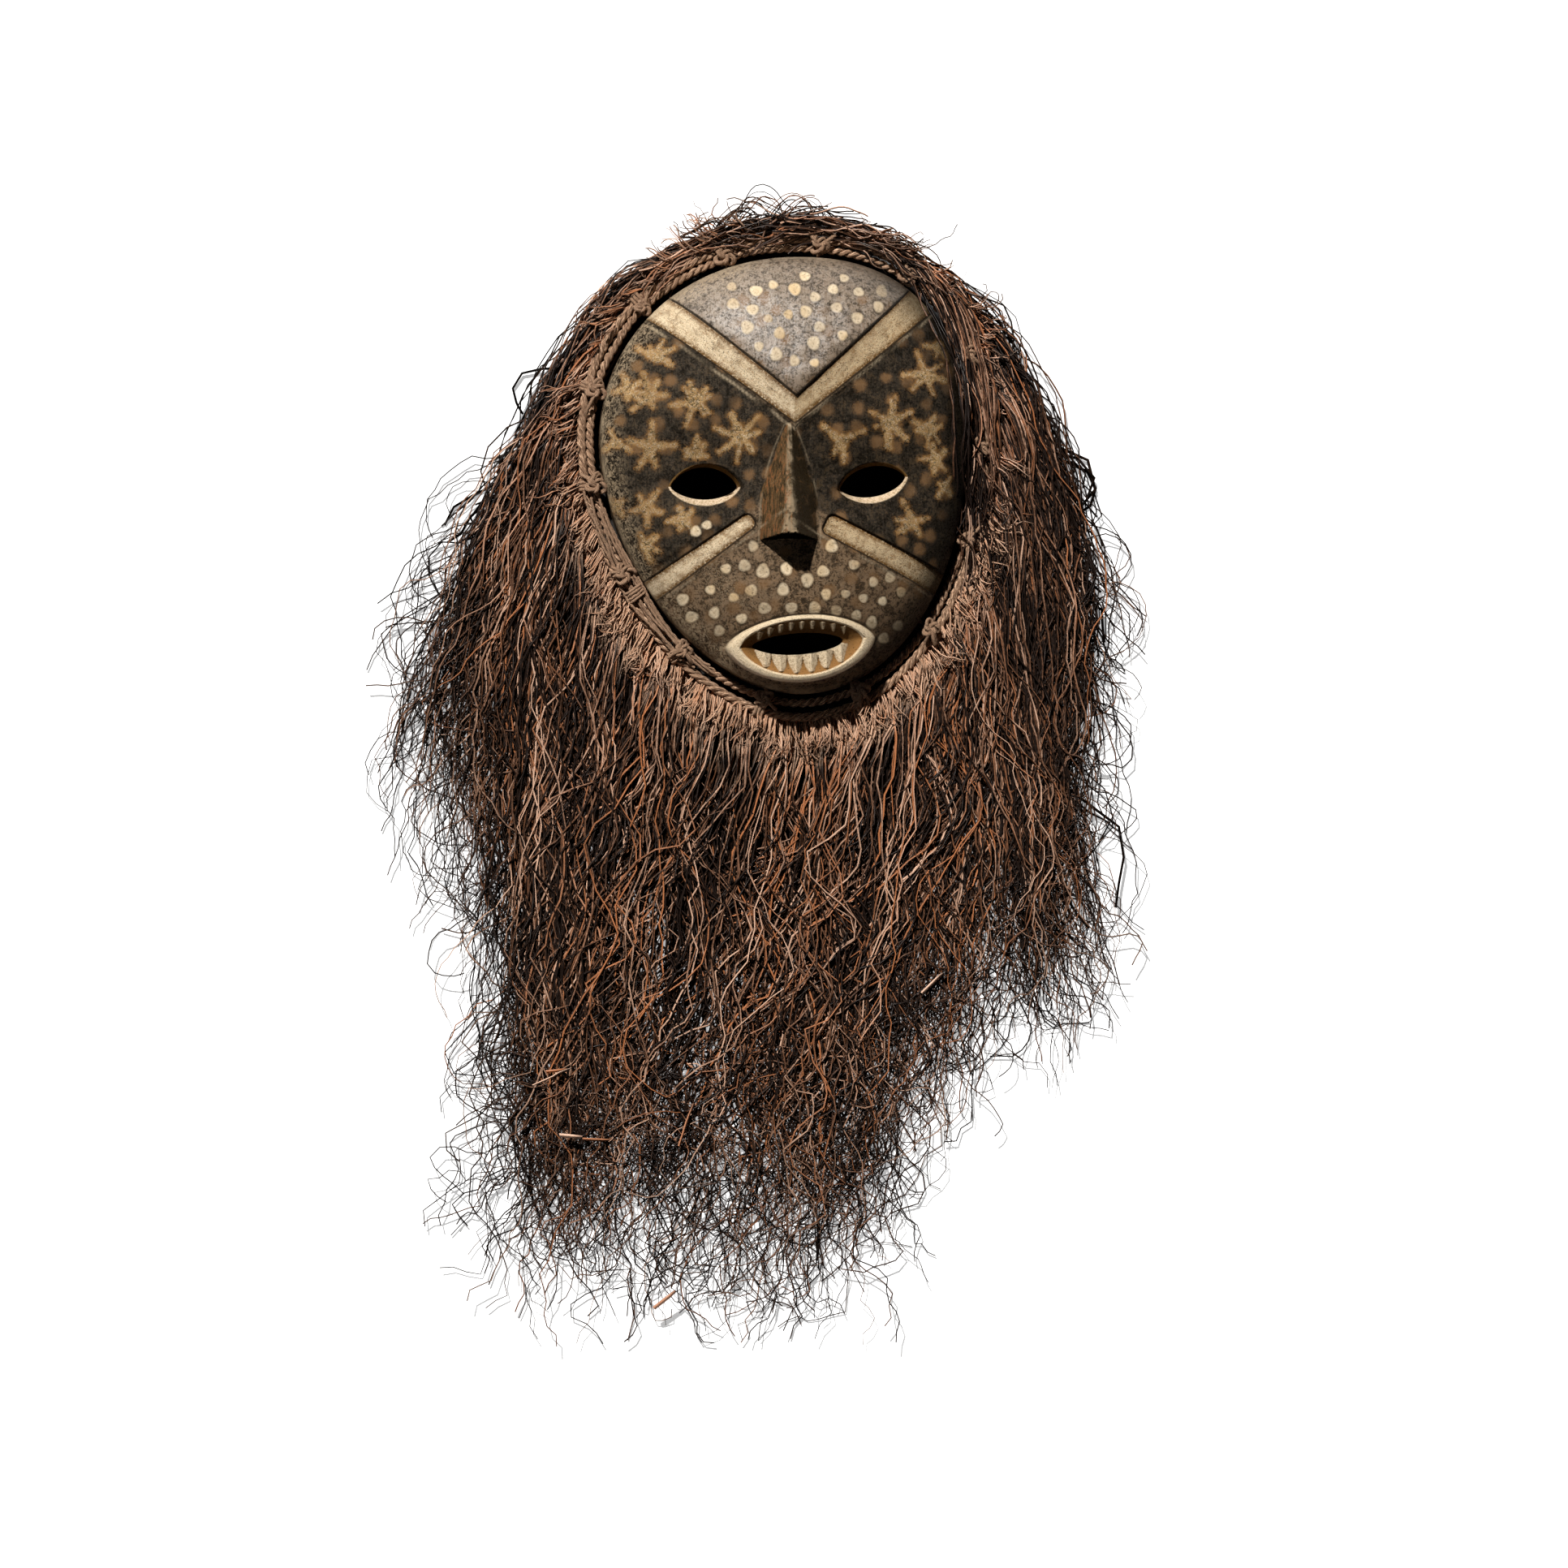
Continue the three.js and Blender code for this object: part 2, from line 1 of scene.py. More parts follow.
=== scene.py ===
"""A carved and painted wooden face mask with a long fringe of plant fibre, lying face up.

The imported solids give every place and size. Shapes on the face are given in the face's own
millimetres, with +X to its right, +Y towards its crown and +Z out of it, and FacePlan turns
them into the part's metres. Each class below makes one sub-assembly and dresses it.
"""
import logging
import math
from collections.abc import Callable
from dataclasses import astuple, dataclass, field, replace
from enum import Enum
from functools import reduce
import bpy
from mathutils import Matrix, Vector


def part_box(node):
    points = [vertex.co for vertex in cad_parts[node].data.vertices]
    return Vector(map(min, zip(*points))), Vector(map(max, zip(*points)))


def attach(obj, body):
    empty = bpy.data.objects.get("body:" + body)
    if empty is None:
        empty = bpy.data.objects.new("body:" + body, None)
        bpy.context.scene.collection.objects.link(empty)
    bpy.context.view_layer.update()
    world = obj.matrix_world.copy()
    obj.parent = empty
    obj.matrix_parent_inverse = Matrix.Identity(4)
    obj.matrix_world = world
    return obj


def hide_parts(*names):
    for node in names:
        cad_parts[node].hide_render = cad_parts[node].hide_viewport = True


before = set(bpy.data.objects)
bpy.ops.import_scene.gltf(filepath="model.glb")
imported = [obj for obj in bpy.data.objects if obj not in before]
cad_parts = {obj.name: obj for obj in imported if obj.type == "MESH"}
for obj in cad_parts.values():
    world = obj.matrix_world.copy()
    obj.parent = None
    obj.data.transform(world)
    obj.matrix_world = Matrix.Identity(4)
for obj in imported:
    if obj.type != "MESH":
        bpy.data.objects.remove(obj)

from types import SimpleNamespace

import bmesh
import bpy
import numpy as np
from mathutils import Vector
from mathutils.geometry import delaunay_2d_cdt
from mathutils.kdtree import KDTree

log = logging.getLogger("fringed_mask")

MM = 0.001
TURN = 2 * math.pi
FAR = 30.0  # The distance to a mark where there is none near.
CLEAR = 9.0  # The value of a carved line's field away from the line.
NUDGE = 0.1  # Keeps a whole number whole when a tree reads it as a float and cuts it.
BODY = "root"

Points = np.ndarray
Colour = tuple[float, float, float, float]
Pair = tuple[float, float]
Socket = bpy.types.NodeSocket


class Slot(Enum):
    """The record's material slots."""

    WOOD = "wood"
    CORD = "cord"
    FIBRE = "fibre"


def paint(red: int, green: int, blue: int) -> Colour:
    """Turns a colour as a screen shows it, 0 to 255, into the linear colour shaders take.

    Args:
        red: the red.
        green: the green.
        blue: the blue.

    Returns:
        The colour with an alpha of 1.
    """
    def linear(value: int) -> float:
        """Undoes a screen's own curve."""
        share = value / 255
        return share / 12.92 if share < 0.04045 else ((share + 0.055) / 1.055) ** 2.4
    return (linear(red), linear(green), linear(blue), 1.0)


def smoothstep(value: Points, low: float, high: float) -> Points:
    """Runs smoothly from 0 at low to 1 at high."""
    t = np.clip((value - low) / (high - low), 0, 1)
    return t * t * (3 - 2 * t)


def mix(first: Points, second: Points, share: Points) -> Points:
    """Goes in a straight line from first, at share 0, to second, at share 1."""
    return first + (second - first) * share


def soft_max(first: Points, second: Points, blend: float) -> Points:
    """The higher of two heights, with the crease between them eased."""
    return (first + second + np.sqrt((first - second) ** 2 + blend**2)) / 2


def soft_min(first: Points, second: Points, blend: float) -> Points:
    """The lower of two heights, with the edge between them eased."""
    return -soft_max(-first, -second, blend)


def waves(x: Points, y: Points, size: float, seed: int, count: int = 18) -> Points:
    """Gives an even, seeded unevenness about 0, with swells of about the given size.

    Args:
        x: the points' places across the face.
        y: the points' places up the face.
        size: the swells' size.
        seed: what it is drawn from.
        count: how many waves are added up.

    Returns:
        The unevenness of each point.
    """
    rng = np.random.default_rng(seed)
    total = np.zeros_like(x, dtype=float)
    for _ in range(count):
        angle, phase = rng.uniform(0, TURN, 2)
        pace = TURN / (size * rng.uniform(0.7, 1.6))
        total += np.cos(pace * (x * math.cos(angle) + y * math.sin(angle)) + phase)
    return total * math.sqrt(2 / count)


def catmull(rows: Points, places: Points) -> Points:
    """Reads a smooth curve through rows.

    Args:
        rows: the values that the curve passes through, one row each.
        places: where to read it, from 0 at the first row to 1 at the last.

    Returns:
        One row of values for each place.
    """
    padded = np.vstack([2 * rows[0] - rows[1], rows, 2 * rows[-1] - rows[-2]])
    spot = np.clip(places, 0, 1) * (len(rows) - 1)
    index = np.minimum(spot.astype(int), len(rows) - 2)
    t = (spot - index)[:, None]
    p0, p1, p2, p3 = (padded[index + k] for k in range(4))
    return 0.5 * (2 * p1 + (p2 - p0) * t + (2 * p0 - 5 * p1 + 4 * p2 - p3) * t**2
                  + (3 * p1 - p0 - 3 * p2 + p3) * t**3)


class Graph:
    """Short calls for building one node tree, of a material or of Geometry Nodes."""

    def __init__(self, tree: bpy.types.NodeTree) -> None:
        """Keeps the tree that the calls add to."""
        self.tree = tree

    def node(self, kind: str, inputs: dict | None = None, **settings: object) -> bpy.types.Node:
        """Adds one node.

        Args:
            kind: the node's type name.
            inputs: socket name or number, to a value or to the socket that feeds it.
            settings: properties of the node itself.

        Returns:
            The node.
        """
        node = self.tree.nodes.new(kind)
        for name, value in settings.items():
            setattr(node, name, value)
        for key, value in (inputs or {}).items():
            if isinstance(value, Socket):
                self.tree.links.new(value, node.inputs[key])
            else:
                node.inputs[key].default_value = value
        return node

    def add(self, kind: str, inputs: dict | None = None, out: int | str = 0,
            **settings: object) -> Socket:
        """Adds one node and gives its output of that name or number."""
        return self.node(kind, inputs, **settings).outputs[out]

    def math(self, operation: str, *values: object) -> Socket:
        """A Math node."""
        return self.add("ShaderNodeMath", dict(enumerate(values)), operation=operation)

    def product(self, *values: object) -> Socket:
        """All the values multiplied together."""
        return reduce(lambda total, value: self.math("MULTIPLY", total, value), values)

    def total(self, *values: object) -> Socket:
        """All the values added together."""
        return reduce(lambda total, value: self.math("ADD", total, value), values)

    def ramp(self, value: object, slope: object, start: object) -> Socket:
        """A value times a slope, plus a start."""
        return self.math("MULTIPLY_ADD", value, slope, start)

    def rest(self, value: object) -> Socket:
        """What a share leaves of 1."""
        return self.math("SUBTRACT", 1.0, value)

    def vector(self, operation: str, *values: object) -> Socket:
        """A Vector Math node."""
        return self.add("ShaderNodeVectorMath", dict(enumerate(values)), operation=operation)

    def scaled(self, value: object, factor: object) -> Socket:
        """A vector times a number."""
        return self.add("ShaderNodeVectorMath", {0: value, "Scale": factor}, operation="SCALE")

    def combine(self, x: object, y: object, z: object) -> Socket:
        """A vector from its three parts."""
        return self.add("ShaderNodeCombineXYZ", {0: x, 1: y, 2: z})

    def step(self, value: object, low: float, high: float, start: float = 0.0,
             end: float = 1.0) -> Socket:
        """A smooth step from start, where value is low, to end, where it is high."""
        return self.add("ShaderNodeMapRange", {0: value, 1: low, 2: high, 3: start, 4: end},
                        interpolation_type="SMOOTHSTEP")

    def noise(self, place: object, scale: float, detail: float = 2.0, roughness: float = 0.5,
              distortion: float = 0.0, out: int = 0) -> Socket:
        """A noise value, or its colour with out 1.

        Args:
            place: where it is read.
            scale: the noise's scale.
            detail: how many finer noises it has.
            roughness: how strong the finer noises are.
            distortion: how warped it is.
            out: which output to return.

        Returns:
            The output socket.
        """
        return self.add("ShaderNodeTexNoise",
                        {"Vector": place, "Scale": scale, "Detail": detail,
                         "Roughness": roughness, "Distortion": distortion}, out=out)

    def coats(self, under: object, *layers: tuple) -> Socket:
        """Colours laid one over another: each layer is a colour and the shares it covers by.

        Args:
            under: the colour at the bottom.
            layers: the colours over it.

        Returns:
            The colour on top.
        """
        for colour, *shares in layers:
            under = self.add("ShaderNodeMix", {0: self.product(*shares), 6: under, 7: colour},
                             out=2, data_type="RGBA")
        return under


class Shader(Graph):
    """A material's tree, with its Principled shader ready."""

    def __init__(self, name: str) -> None:
        """Makes the material and joins its shader to its output.

        Args:
            name: the material's name.
        """
        self.material = bpy.data.materials.new(name)
        self.material.use_nodes = True
        super().__init__(self.material.node_tree)
        self.tree.nodes.clear()
        self.surface = self.tree.nodes.new("ShaderNodeBsdfPrincipled")
        end = self.tree.nodes.new("ShaderNodeOutputMaterial")
        self.tree.links.new(self.surface.outputs[0], end.inputs["Surface"])

    def place(self) -> Socket:
        """The object's own coordinates, in millimetres."""
        return self.scaled(self.add("ShaderNodeTexCoord", out="Object"), 1 / MM)

    def attribute(self, name: str) -> Socket:
        """A number that the mesh carries."""
        return self.add("ShaderNodeAttribute", out="Fac", attribute_name=name)

    def set(self, **values: object) -> None:
        """Sets or feeds the shader's own sockets. An underscore in a name stands for a space.

        Args:
            values: the sockets' names and values.
        """
        for name, value in values.items():
            socket = self.surface.inputs[name.replace("_", " ")]
            if isinstance(value, Socket):
                self.tree.links.new(value, socket)
            else:
                socket.default_value = value

    def bump(self, height: object, strength: float, depth_mm: float) -> None:
        """Gives the surface a fine relief.

        Args:
            height: the height at each place.
            strength: how strong the relief is.
            depth_mm: the relief's depth.
        """
        self.set(Normal=self.add("ShaderNodeBump", {"Strength": strength,
                                                    "Distance": depth_mm * MM,
                                                    "Height": height}))


class Growth(Graph):
    """A Geometry Nodes tree with named inputs, which grows a mesh from a host of plain lines."""

    def __init__(self, name: str, sizes: dict[str, float | int]) -> None:
        """Makes the tree and its inputs.

        Args:
            name: the tree's name.
            sizes: each named input and its first value.
        """
        super().__init__(bpy.data.node_groups.new(name, "GeometryNodeTree"))
        face = self.tree.interface
        face.new_socket("Geometry", in_out="INPUT", socket_type="NodeSocketGeometry")
        for key, value in sizes.items():
            kind = "NodeSocketInt" if isinstance(value, int) else "NodeSocketFloat"
            face.new_socket(key, in_out="INPUT", socket_type=kind).default_value = value
        face.new_socket("Geometry", in_out="OUTPUT", socket_type="NodeSocketGeometry")
        self.inputs = self.tree.nodes.new("NodeGroupInput").outputs

    def random(self, low: float, high: float, seed: int, key: Socket) -> Socket:
        """A seeded random number for each value of key."""
        return self.add("FunctionNodeRandomValue", {2: low, 3: high, "ID": key, "Seed": seed},
                        out=1, data_type="FLOAT")

    def store(self, geometry: Socket, data_type: str = "FLOAT", **values: Socket) -> Socket:
        """Keeps a value on every point, under each name.

        Args:
            geometry: the geometry.
            data_type: the values' type.
            values: the names and their values.

        Returns:
            The geometry that carries them.
        """
        for name, value in values.items():
            geometry = self.add("GeometryNodeStoreNamedAttribute",
                                {"Geometry": geometry, "Name": name, "Value": value},
                                data_type=data_type, domain="POINT")
        return geometry

    def stored(self, name: str, data_type: str = "FLOAT") -> Socket:
        """A value that each point carries."""
        return self.add("GeometryNodeInputNamedAttribute", {"Name": name}, data_type=data_type)

    def position(self) -> Socket:
        """Where each point is."""
        return self.add("GeometryNodeInputPosition")

    def along(self, out: str = "Length") -> Socket:
        """How far along its line each point is, as its Length or its Factor."""
        return self.add("GeometryNodeSplineParameter", out=out)

    def across(self, way: Socket) -> Socket:
        """The level direction square to another."""
        return self.vector("NORMALIZE", self.vector("CROSS_PRODUCT", way, (0.0, 0.0, 1.0)))

    def curves(self) -> Socket:
        """The host's lines as curves."""
        return self.add("GeometryNodeMeshToCurve", {"Mesh": self.inputs["Geometry"]})

    def resampled(self, curve: Socket, mode: str, value: object) -> Socket:
        """Curves with points at even steps, by their LENGTH or their COUNT."""
        return self.add("GeometryNodeResampleCurve", {"Curve": curve, mode.title(): value},
                        mode=mode)

    def copied(self, curve: Socket, amount: Socket) -> bpy.types.Node:
        """Copies each curve, and numbers the copies."""
        return self.node("GeometryNodeDuplicateElements", {"Geometry": curve, "Amount": amount},
                         domain="SPLINE")

    def per_line(self, value: Socket, data_type: str) -> Socket:
        """A value read once for each curve."""
        return self.add("GeometryNodeFieldOnDomain", {0: value}, domain="CURVE",
                        data_type=data_type)

    def running(self, value: Socket, line: Socket, data_type: str) -> Socket:
        """The sum of a value over a line's points, as far as each point."""
        return self.add("GeometryNodeAccumulateField", {"Value": value, "Group ID": line},
                        data_type=data_type, domain="POINT")

    def placed(self, geometry: Socket, key: str, value: Socket) -> Socket:
        """Geometry with its points moved by an Offset, or to a Position."""
        return self.add("GeometryNodeSetPosition", {"Geometry": geometry, key: value})

    def tube(self, curve: Socket, sides: int, radius: Socket, ring: bool = True,
             **shape: object) -> Socket:
        """Thickens curves.

        Args:
            curve: the curves.
            sides: how many sides the tube has.
            radius: the tube's radius.
            ring: whether each point keeps its place round the tube.
            shape: the tube's own inputs. An underscore in a name stands for a space.

        Returns:
            The tubes.
        """
        circle = self.add("GeometryNodeCurvePrimitiveCircle",
                          {"Resolution": sides, "Radius": radius})
        if ring:
            circle = self.store(circle, round=self.along("Factor"))
        return self.add("GeometryNodeCurveToMesh", {"Curve": curve, "Profile Curve": circle} | {
            name.replace("_", " "): value for name, value in shape.items()})

    def close(self, geometry: Socket, material: bpy.types.Material) -> None:
        """Ends the tree: everything is made real and takes the material.

        Args:
            geometry: what the tree has grown.
            material: the pieces' finish.
        """
        real = self.add("GeometryNodeRealizeInstances", {0: geometry})
        dressed = self.add("GeometryNodeSetMaterial", {"Geometry": real, "Material": material})
        end = self.tree.nodes.new("NodeGroupOutput")
        self.tree.links.new(dressed, end.inputs[0])

    def grow(self, name: str, lines: "Lines", sizes: dict[str, float | int]) -> bpy.types.Object:
        """Runs the tree on some lines and keeps the result as a plain mesh.

        Args:
            name: the new piece's name.
            lines: the lines that the tree starts from.
            sizes: values for the tree's named inputs.

        Returns:
            The piece, with no modifier left on it.
        """
        host = bpy.data.objects.new(f"{name}_lines", lines.mesh(f"{name}_lines"))
        bpy.context.scene.collection.objects.link(host)
        modifier = host.modifiers.new("growth", "NODES")
        modifier.node_group = self.tree
        for item in self.tree.interface.items_tree:
            if item.in_out == "INPUT" and item.name in sizes:
                modifier[item.identifier] = sizes[item.name]
        graph = bpy.context.evaluated_depsgraph_get()
        mesh = bpy.data.meshes.new_from_object(host.evaluated_get(graph),
                                               preserve_all_data_layers=True, depsgraph=graph)
        host.modifiers.remove(modifier)
        bpy.data.objects.remove(host)
        mesh.name = name
        return new_piece(name, mesh)


@dataclass
class Lines:
    """Open and closed lines, in the face's millimetres, with numbers for each line."""

    paths: list[Points] = field(default_factory=list)
    closed: list[bool] = field(default_factory=list)
    tags: dict[str, list[float]] = field(default_factory=dict)

    def put(self, path: Points, closed: bool = False, **tags: float) -> None:
        """Adds one line of points, one row each, and its numbers.

        Args:
            path: the line's points.
            closed: whether its ends are joined.
            tags: the line's numbers.
        """
        self.paths.append(path)
        self.closed.append(closed)
        for name, value in tags.items():
            self.tags.setdefault(name, []).append(value)

    def lock(self, path: Points, copies: int, points: int, **tags: float) -> None:
        """Adds one lock's line, with how many strands it stands for and their points."""
        self.put(path, copies=copies + NUDGE, points=points + NUDGE, **tags)

    def mesh(self, name: str) -> bpy.types.Mesh:
        """Turns the lines into edges, placed on the part.

        Args:
            name: the mesh's name.

        Returns:
            The mesh of plain edges.
        """
        edges, start = [], 0
        for path, closed in zip(self.paths, self.closed):
            count = len(path)
            edges += [(start + i, start + i + 1) for i in range(count - 1)]
            if closed:
                edges.append((start + count - 1, start))
            start += count
        mesh = bpy.data.meshes.new(name)
        mesh.from_pydata(PLAN.on_part(np.vstack(self.paths)).tolist(), edges, [])
        for tag, values in self.tags.items():
            carry(mesh, tag, np.repeat(values, [len(path) for path in self.paths]))
        return mesh


def carry(mesh: bpy.types.Mesh, name: str, values: Points) -> None:
    """Lets each point of a mesh carry a number."""
    mesh.attributes.new(name, "FLOAT", "POINT").data.foreach_set(
        "value", np.asarray(values, np.float32))


def new_piece(name: str, mesh: bpy.types.Mesh) -> bpy.types.Object:
    """Puts a mesh in the scene as an object at the origin.

    Args:
        name: the object's name.
        mesh: its mesh.

    Returns:
        The object.
    """
    piece = bpy.data.objects.new(name, mesh)
    bpy.context.scene.collection.objects.link(piece)
    return piece


def dress(piece: bpy.types.Object, slot: Slot, *nodes: str) -> None:
    """Lets a finished piece ride and stand for its CAD nodes.

    Args:
        piece: the finished piece.
        slot: the record's material slot; not used.
        nodes: the CAD nodes that it replaces.
    """
    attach(piece, BODY)
    if nodes:
        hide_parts(*nodes)
    triangles = sum(len(face.vertices) - 2 for face in piece.data.polygons)
    log.info("%s: %d triangles, stands for %s", piece.name, triangles, ", ".join(nodes) or "-")


@dataclass(frozen=True)
class FacePlan:
    """The outline and the dome of the wood, in the face's millimetres."""

    centre: float = 8.0
    half_left: float = 112.5
    half_right: float = 95.5
    crown: float = 103.5
    chin: float = 143.0
    corner_crown: Pair = (2.05, 2.35)
    corner_chin: Pair = (1.8, 2.05)
    wall: float = 8.0
    mean_radius: float = 105.0
    rim_height: float = 16.0
    dome_rise: float = 42.0
    dome_fullness: float = 2.4
    dome_roundness: float = 0.52
    shell_depth: float = 12.0

    def offset(self) -> Pair:
        """Where the face's own origin lies on the part, in millimetres."""
        low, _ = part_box("mask")
        return low.x / MM + self.half_left - self.centre, low.y / MM + self.chin

    def on_part(self, points: Points) -> Points:
        """Turns face points in millimetres into part points in metres."""
        across, up = self.offset()
        return (points + np.array([across, up, 0])) * MM

    def quarter(self, x: Points, y: Points) -> tuple[Points, Points, Points]:
        """The half width, the half height and the squareness of the outline there.

        Args:
            x: the points' places across the face.
            y: the points' places up the face.

        Returns:
            The three values for each point.
        """
        left, low = x < self.centre, y < 0
        corner = np.where(low, np.where(left, *self.corner_chin),
                          np.where(left, *self.corner_crown))
        return (np.where(left, self.half_left, self.half_right),
                np.where(low, self.chin, self.crown), corner)

    def reach(self, x: Points, y: Points) -> Points:
        """How far out a point lies: 0 at the centre, 1 on the outline and more outside."""
        a, b, n = self.quarter(x, y)
        return ((np.abs(x - self.centre) / a) ** n + (np.abs(y) / b) ** n) ** (1 / n)

    def share(self, x: Points, y: Points) -> Points:
        """How far out a point of the wood lies: 0 at the centre and 1 on the outline."""
        return np.minimum(1, self.reach(x, y))

    def around(self, angle: Points | float) -> tuple[Points, Points]:
        """The outline's points at some angles from the centre, and the ways square to it.

        Args:
            angle: the directions from the centre, in radians.

        Returns:
            The points and the outward directions, one row of x and y for each angle.
        """
        angle = np.atleast_1d(np.asarray(angle, float))
        c, s = np.cos(angle), np.sin(angle)
        a, b, n = self.quarter(self.centre + c, s)
        radius = ((np.abs(c) / a) ** n + (np.abs(s) / b) ** n) ** (-1 / n)
        slope = np.c_[np.sign(c) * (np.abs(radius * c) / a) ** (n - 1) / a,
                      np.sign(s) * (np.abs(radius * s) / b) ** (n - 1) / b]
        return (np.c_[self.centre + radius * c, radius * s],
                slope / np.linalg.norm(slope, axis=1, keepdims=True))

    def rim(self, angle: Points | float, out: Points | float = 0.0) -> Points:
        """Points at some angles on the outline, or at a distance out from it."""
        spot, outward = self.around(angle)
        return spot + outward * np.reshape(out, (-1, 1))

    def outward(self, angle: Points | float) -> Points:
        """The direction square to the outline at each angle."""
        return self.around(angle)[1]

    def under_chin(self, angle: Points | float) -> Points:
        """How near an angle is to the chin, from 0 to 1."""
        return np.exp(-(((np.degrees(angle) % 360 - 270) / 26) ** 2))

    def gap(self, x: Points, y: Points) -> Points:
        """About how far outside the wood each point lies, in millimetres."""
        return self.mean_radius * (self.reach(x, y) - 1)

    def dome(self, x: Points, y: Points) -> Points:
        """The height of the plain dome."""
        rise = 1 - self.share(x, y) ** self.dome_fullness
        return self.rim_height + self.dome_rise * rise**self.dome_roundness

    def even_angles(self, count: int, first: float) -> Points:
        """Angles that share the outline's length out evenly.

        Args:
            count: how many angles.
            first: the first of them.

        Returns:
            The angles, in radians.
        """
        steps = 720
        turn = first + np.arange(steps + 1) / steps * TURN
        length = np.r_[0, np.cumsum(np.linalg.norm(np.diff(self.rim(turn), axis=0), axis=1))]
        return turn[np.searchsorted(length, np.arange(count) / count * length[-1])]


PLAN = FacePlan()


@dataclass(frozen=True)
class Almond:
    """A shape with two pointed ends and its own reach above and below them."""

    x: float
    y: float
    width: float
    above: float
    below: float
    turn: float
    point: float

    def local(self, x: Points, y: Points) -> tuple[Points, Points]:
        """A place as distances along the almond and across it.

        Args:
            x: the points' places across the face.
            y: the points' places up the face.

        Returns:
            The distances along, and the distances across.
        """
        c, s = np.cos(np.radians(self.turn)), np.sin(np.radians(self.turn))
        across, up = x - self.x, y - self.y
        return across * c + up * s, up * c - across * s

    def holds(self, x: Points, y: Points) -> Points:
        """Whether each point lies inside.

        Args:
            x: the points' places across the face.
            y: the points' places up the face.

        Returns:
            True for each point inside.
        """
        along, up = self.local(x, y)
        narrow = np.clip(1 - (2 * along / self.width) ** 2, 0, 1) ** (self.point / 2)
        return np.abs(up) < np.where(up > 0, self.above, self.below) * narrow

    def ring(self, sides: int, grow: float = 1.0) -> Points:
        """Points round the shape, one row of x and y each.

        Args:
            sides: how many points.
            grow: how much larger than the shape they lie.

        Returns:
            The points.
        """
        t = np.arange(sides) / sides * TURN
        along = np.cos(t) * self.width * grow / 2
        reach = np.where(np.sin(t) > 0, self.above, self.below) * grow
        up = np.sign(np.sin(t)) * np.abs(np.sin(t)) ** self.point * reach
        c, s = math.cos(math.radians(self.turn)), math.sin(math.radians(self.turn))
        return np.c_[self.x + along * c - up * s, self.y + along * s + up * c]

    def scaled(self, grow: float) -> "Almond":
        """The same shape, larger or smaller about its middle."""
        return replace(self, width=self.width * grow, above=self.above * grow,
                       below=self.below * grow)

    def share_to(self, outer: "Almond", x: Points, y: Points, high: float = 1.0) -> Points:
        """How far each point lies from this shape, at 0, to a wider one, at 1.

        Args:
            outer: the wider shape.
            x: the points' places across the face.
            y: the points' places up the face.
            high: where the search ends, past 1 to go on outside the wider shape.

        Returns:
            The share for each point, 0 inside this shape.
        """
        low, top = np.zeros_like(x), np.full_like(x, high)
        for _ in range(22):
            middle = (low + top) / 2
            between = Almond(*(mix(a, b, middle) for a, b in zip(astuple(self),
                                                                 astuple(outer))))
            inside = between.holds(x, y)
            top, low = np.where(inside, middle, top), np.where(inside, low, middle)
        return top


@dataclass(frozen=True)
class Bar:
    """One sunk bar: a flat-floored strip from the middle of the face out past the rim."""

    start: Pair
    end: Pair
    start_width: float
    end_width: float

    def length(self) -> float:
        """The bar's length."""
        return math.dist(self.start, self.end)

    def direction(self) -> Pair:
        """The way the bar runs, outwards."""
        return tuple((b - a) / self.length() for a, b in zip(self.start, self.end))

    def along(self, x: Points, y: Points) -> Points:
        """The distance along the bar from its start."""
        dx, dy = self.direction()
        return (x - self.start[0]) * dx + (y - self.start[1]) * dy

    def above(self, x: Points, y: Points) -> Points:
        """The distance above the bar's middle line.

        Args:
            x: the points' places across the face.
            y: the points' places up the face.

        Returns:
            The distances, below 0 under the line.
        """
        dx, dy = self.direction()
        turned = np.sign(dx)
        return turned * ((y - self.start[1]) * dx - (x - self.start[0]) * dy)

    def half(self, along: Points) -> Points:
        """Half of the bar's width at a distance along it."""
        return mix(self.start_width, self.end_width, along / self.length()) / 2

    def edge(self, side: int, out: float, start: float, count: int = 150) -> Points:
        """Points along one edge, as far as the rim.

        Args:
            side: 1 for the upper edge and -1 for the lower one.
            out: how far outside the floor the line runs.
            start: the distance along the bar where the line starts.
            count: how many places are tried.

        Returns:
            One row of x and y for each point that lies on the wood.
        """
        dx, dy = self.direction()
        along = np.linspace(start, self.length() * 1.1, count)
        reach = side * np.sign(dx) * (self.half(along) + out)
        points = np.c_[self.start[0] + dx * along - dy * reach,
                       self.start[1] + dy * along + dx * reach]
        return points[PLAN.share(points[:, 0], points[:, 1]) < 0.985]


@dataclass(frozen=True)
class Star:
    """One painted star mark: finger strokes that spread from a blot."""

    x: float
    y: float
    reach: float
    arms: int
    turn: float
    spread: float = 360.0
    blot: float = 3.0


@dataclass(frozen=True)
class Sprinkle:
    """Where a group of round spots may lie, how many there may be and how far apart."""

    across: Pair
    up: Pair
    count: int
    apart: float


@dataclass(frozen=True)
class ToothRow:
    """One row of pyramid teeth, on the lower side of the mouth, -1, or the upper, 1."""

    side: int
    count: int
    pitch: float
    root: float
    tip: float
    rise: float
    reach: float


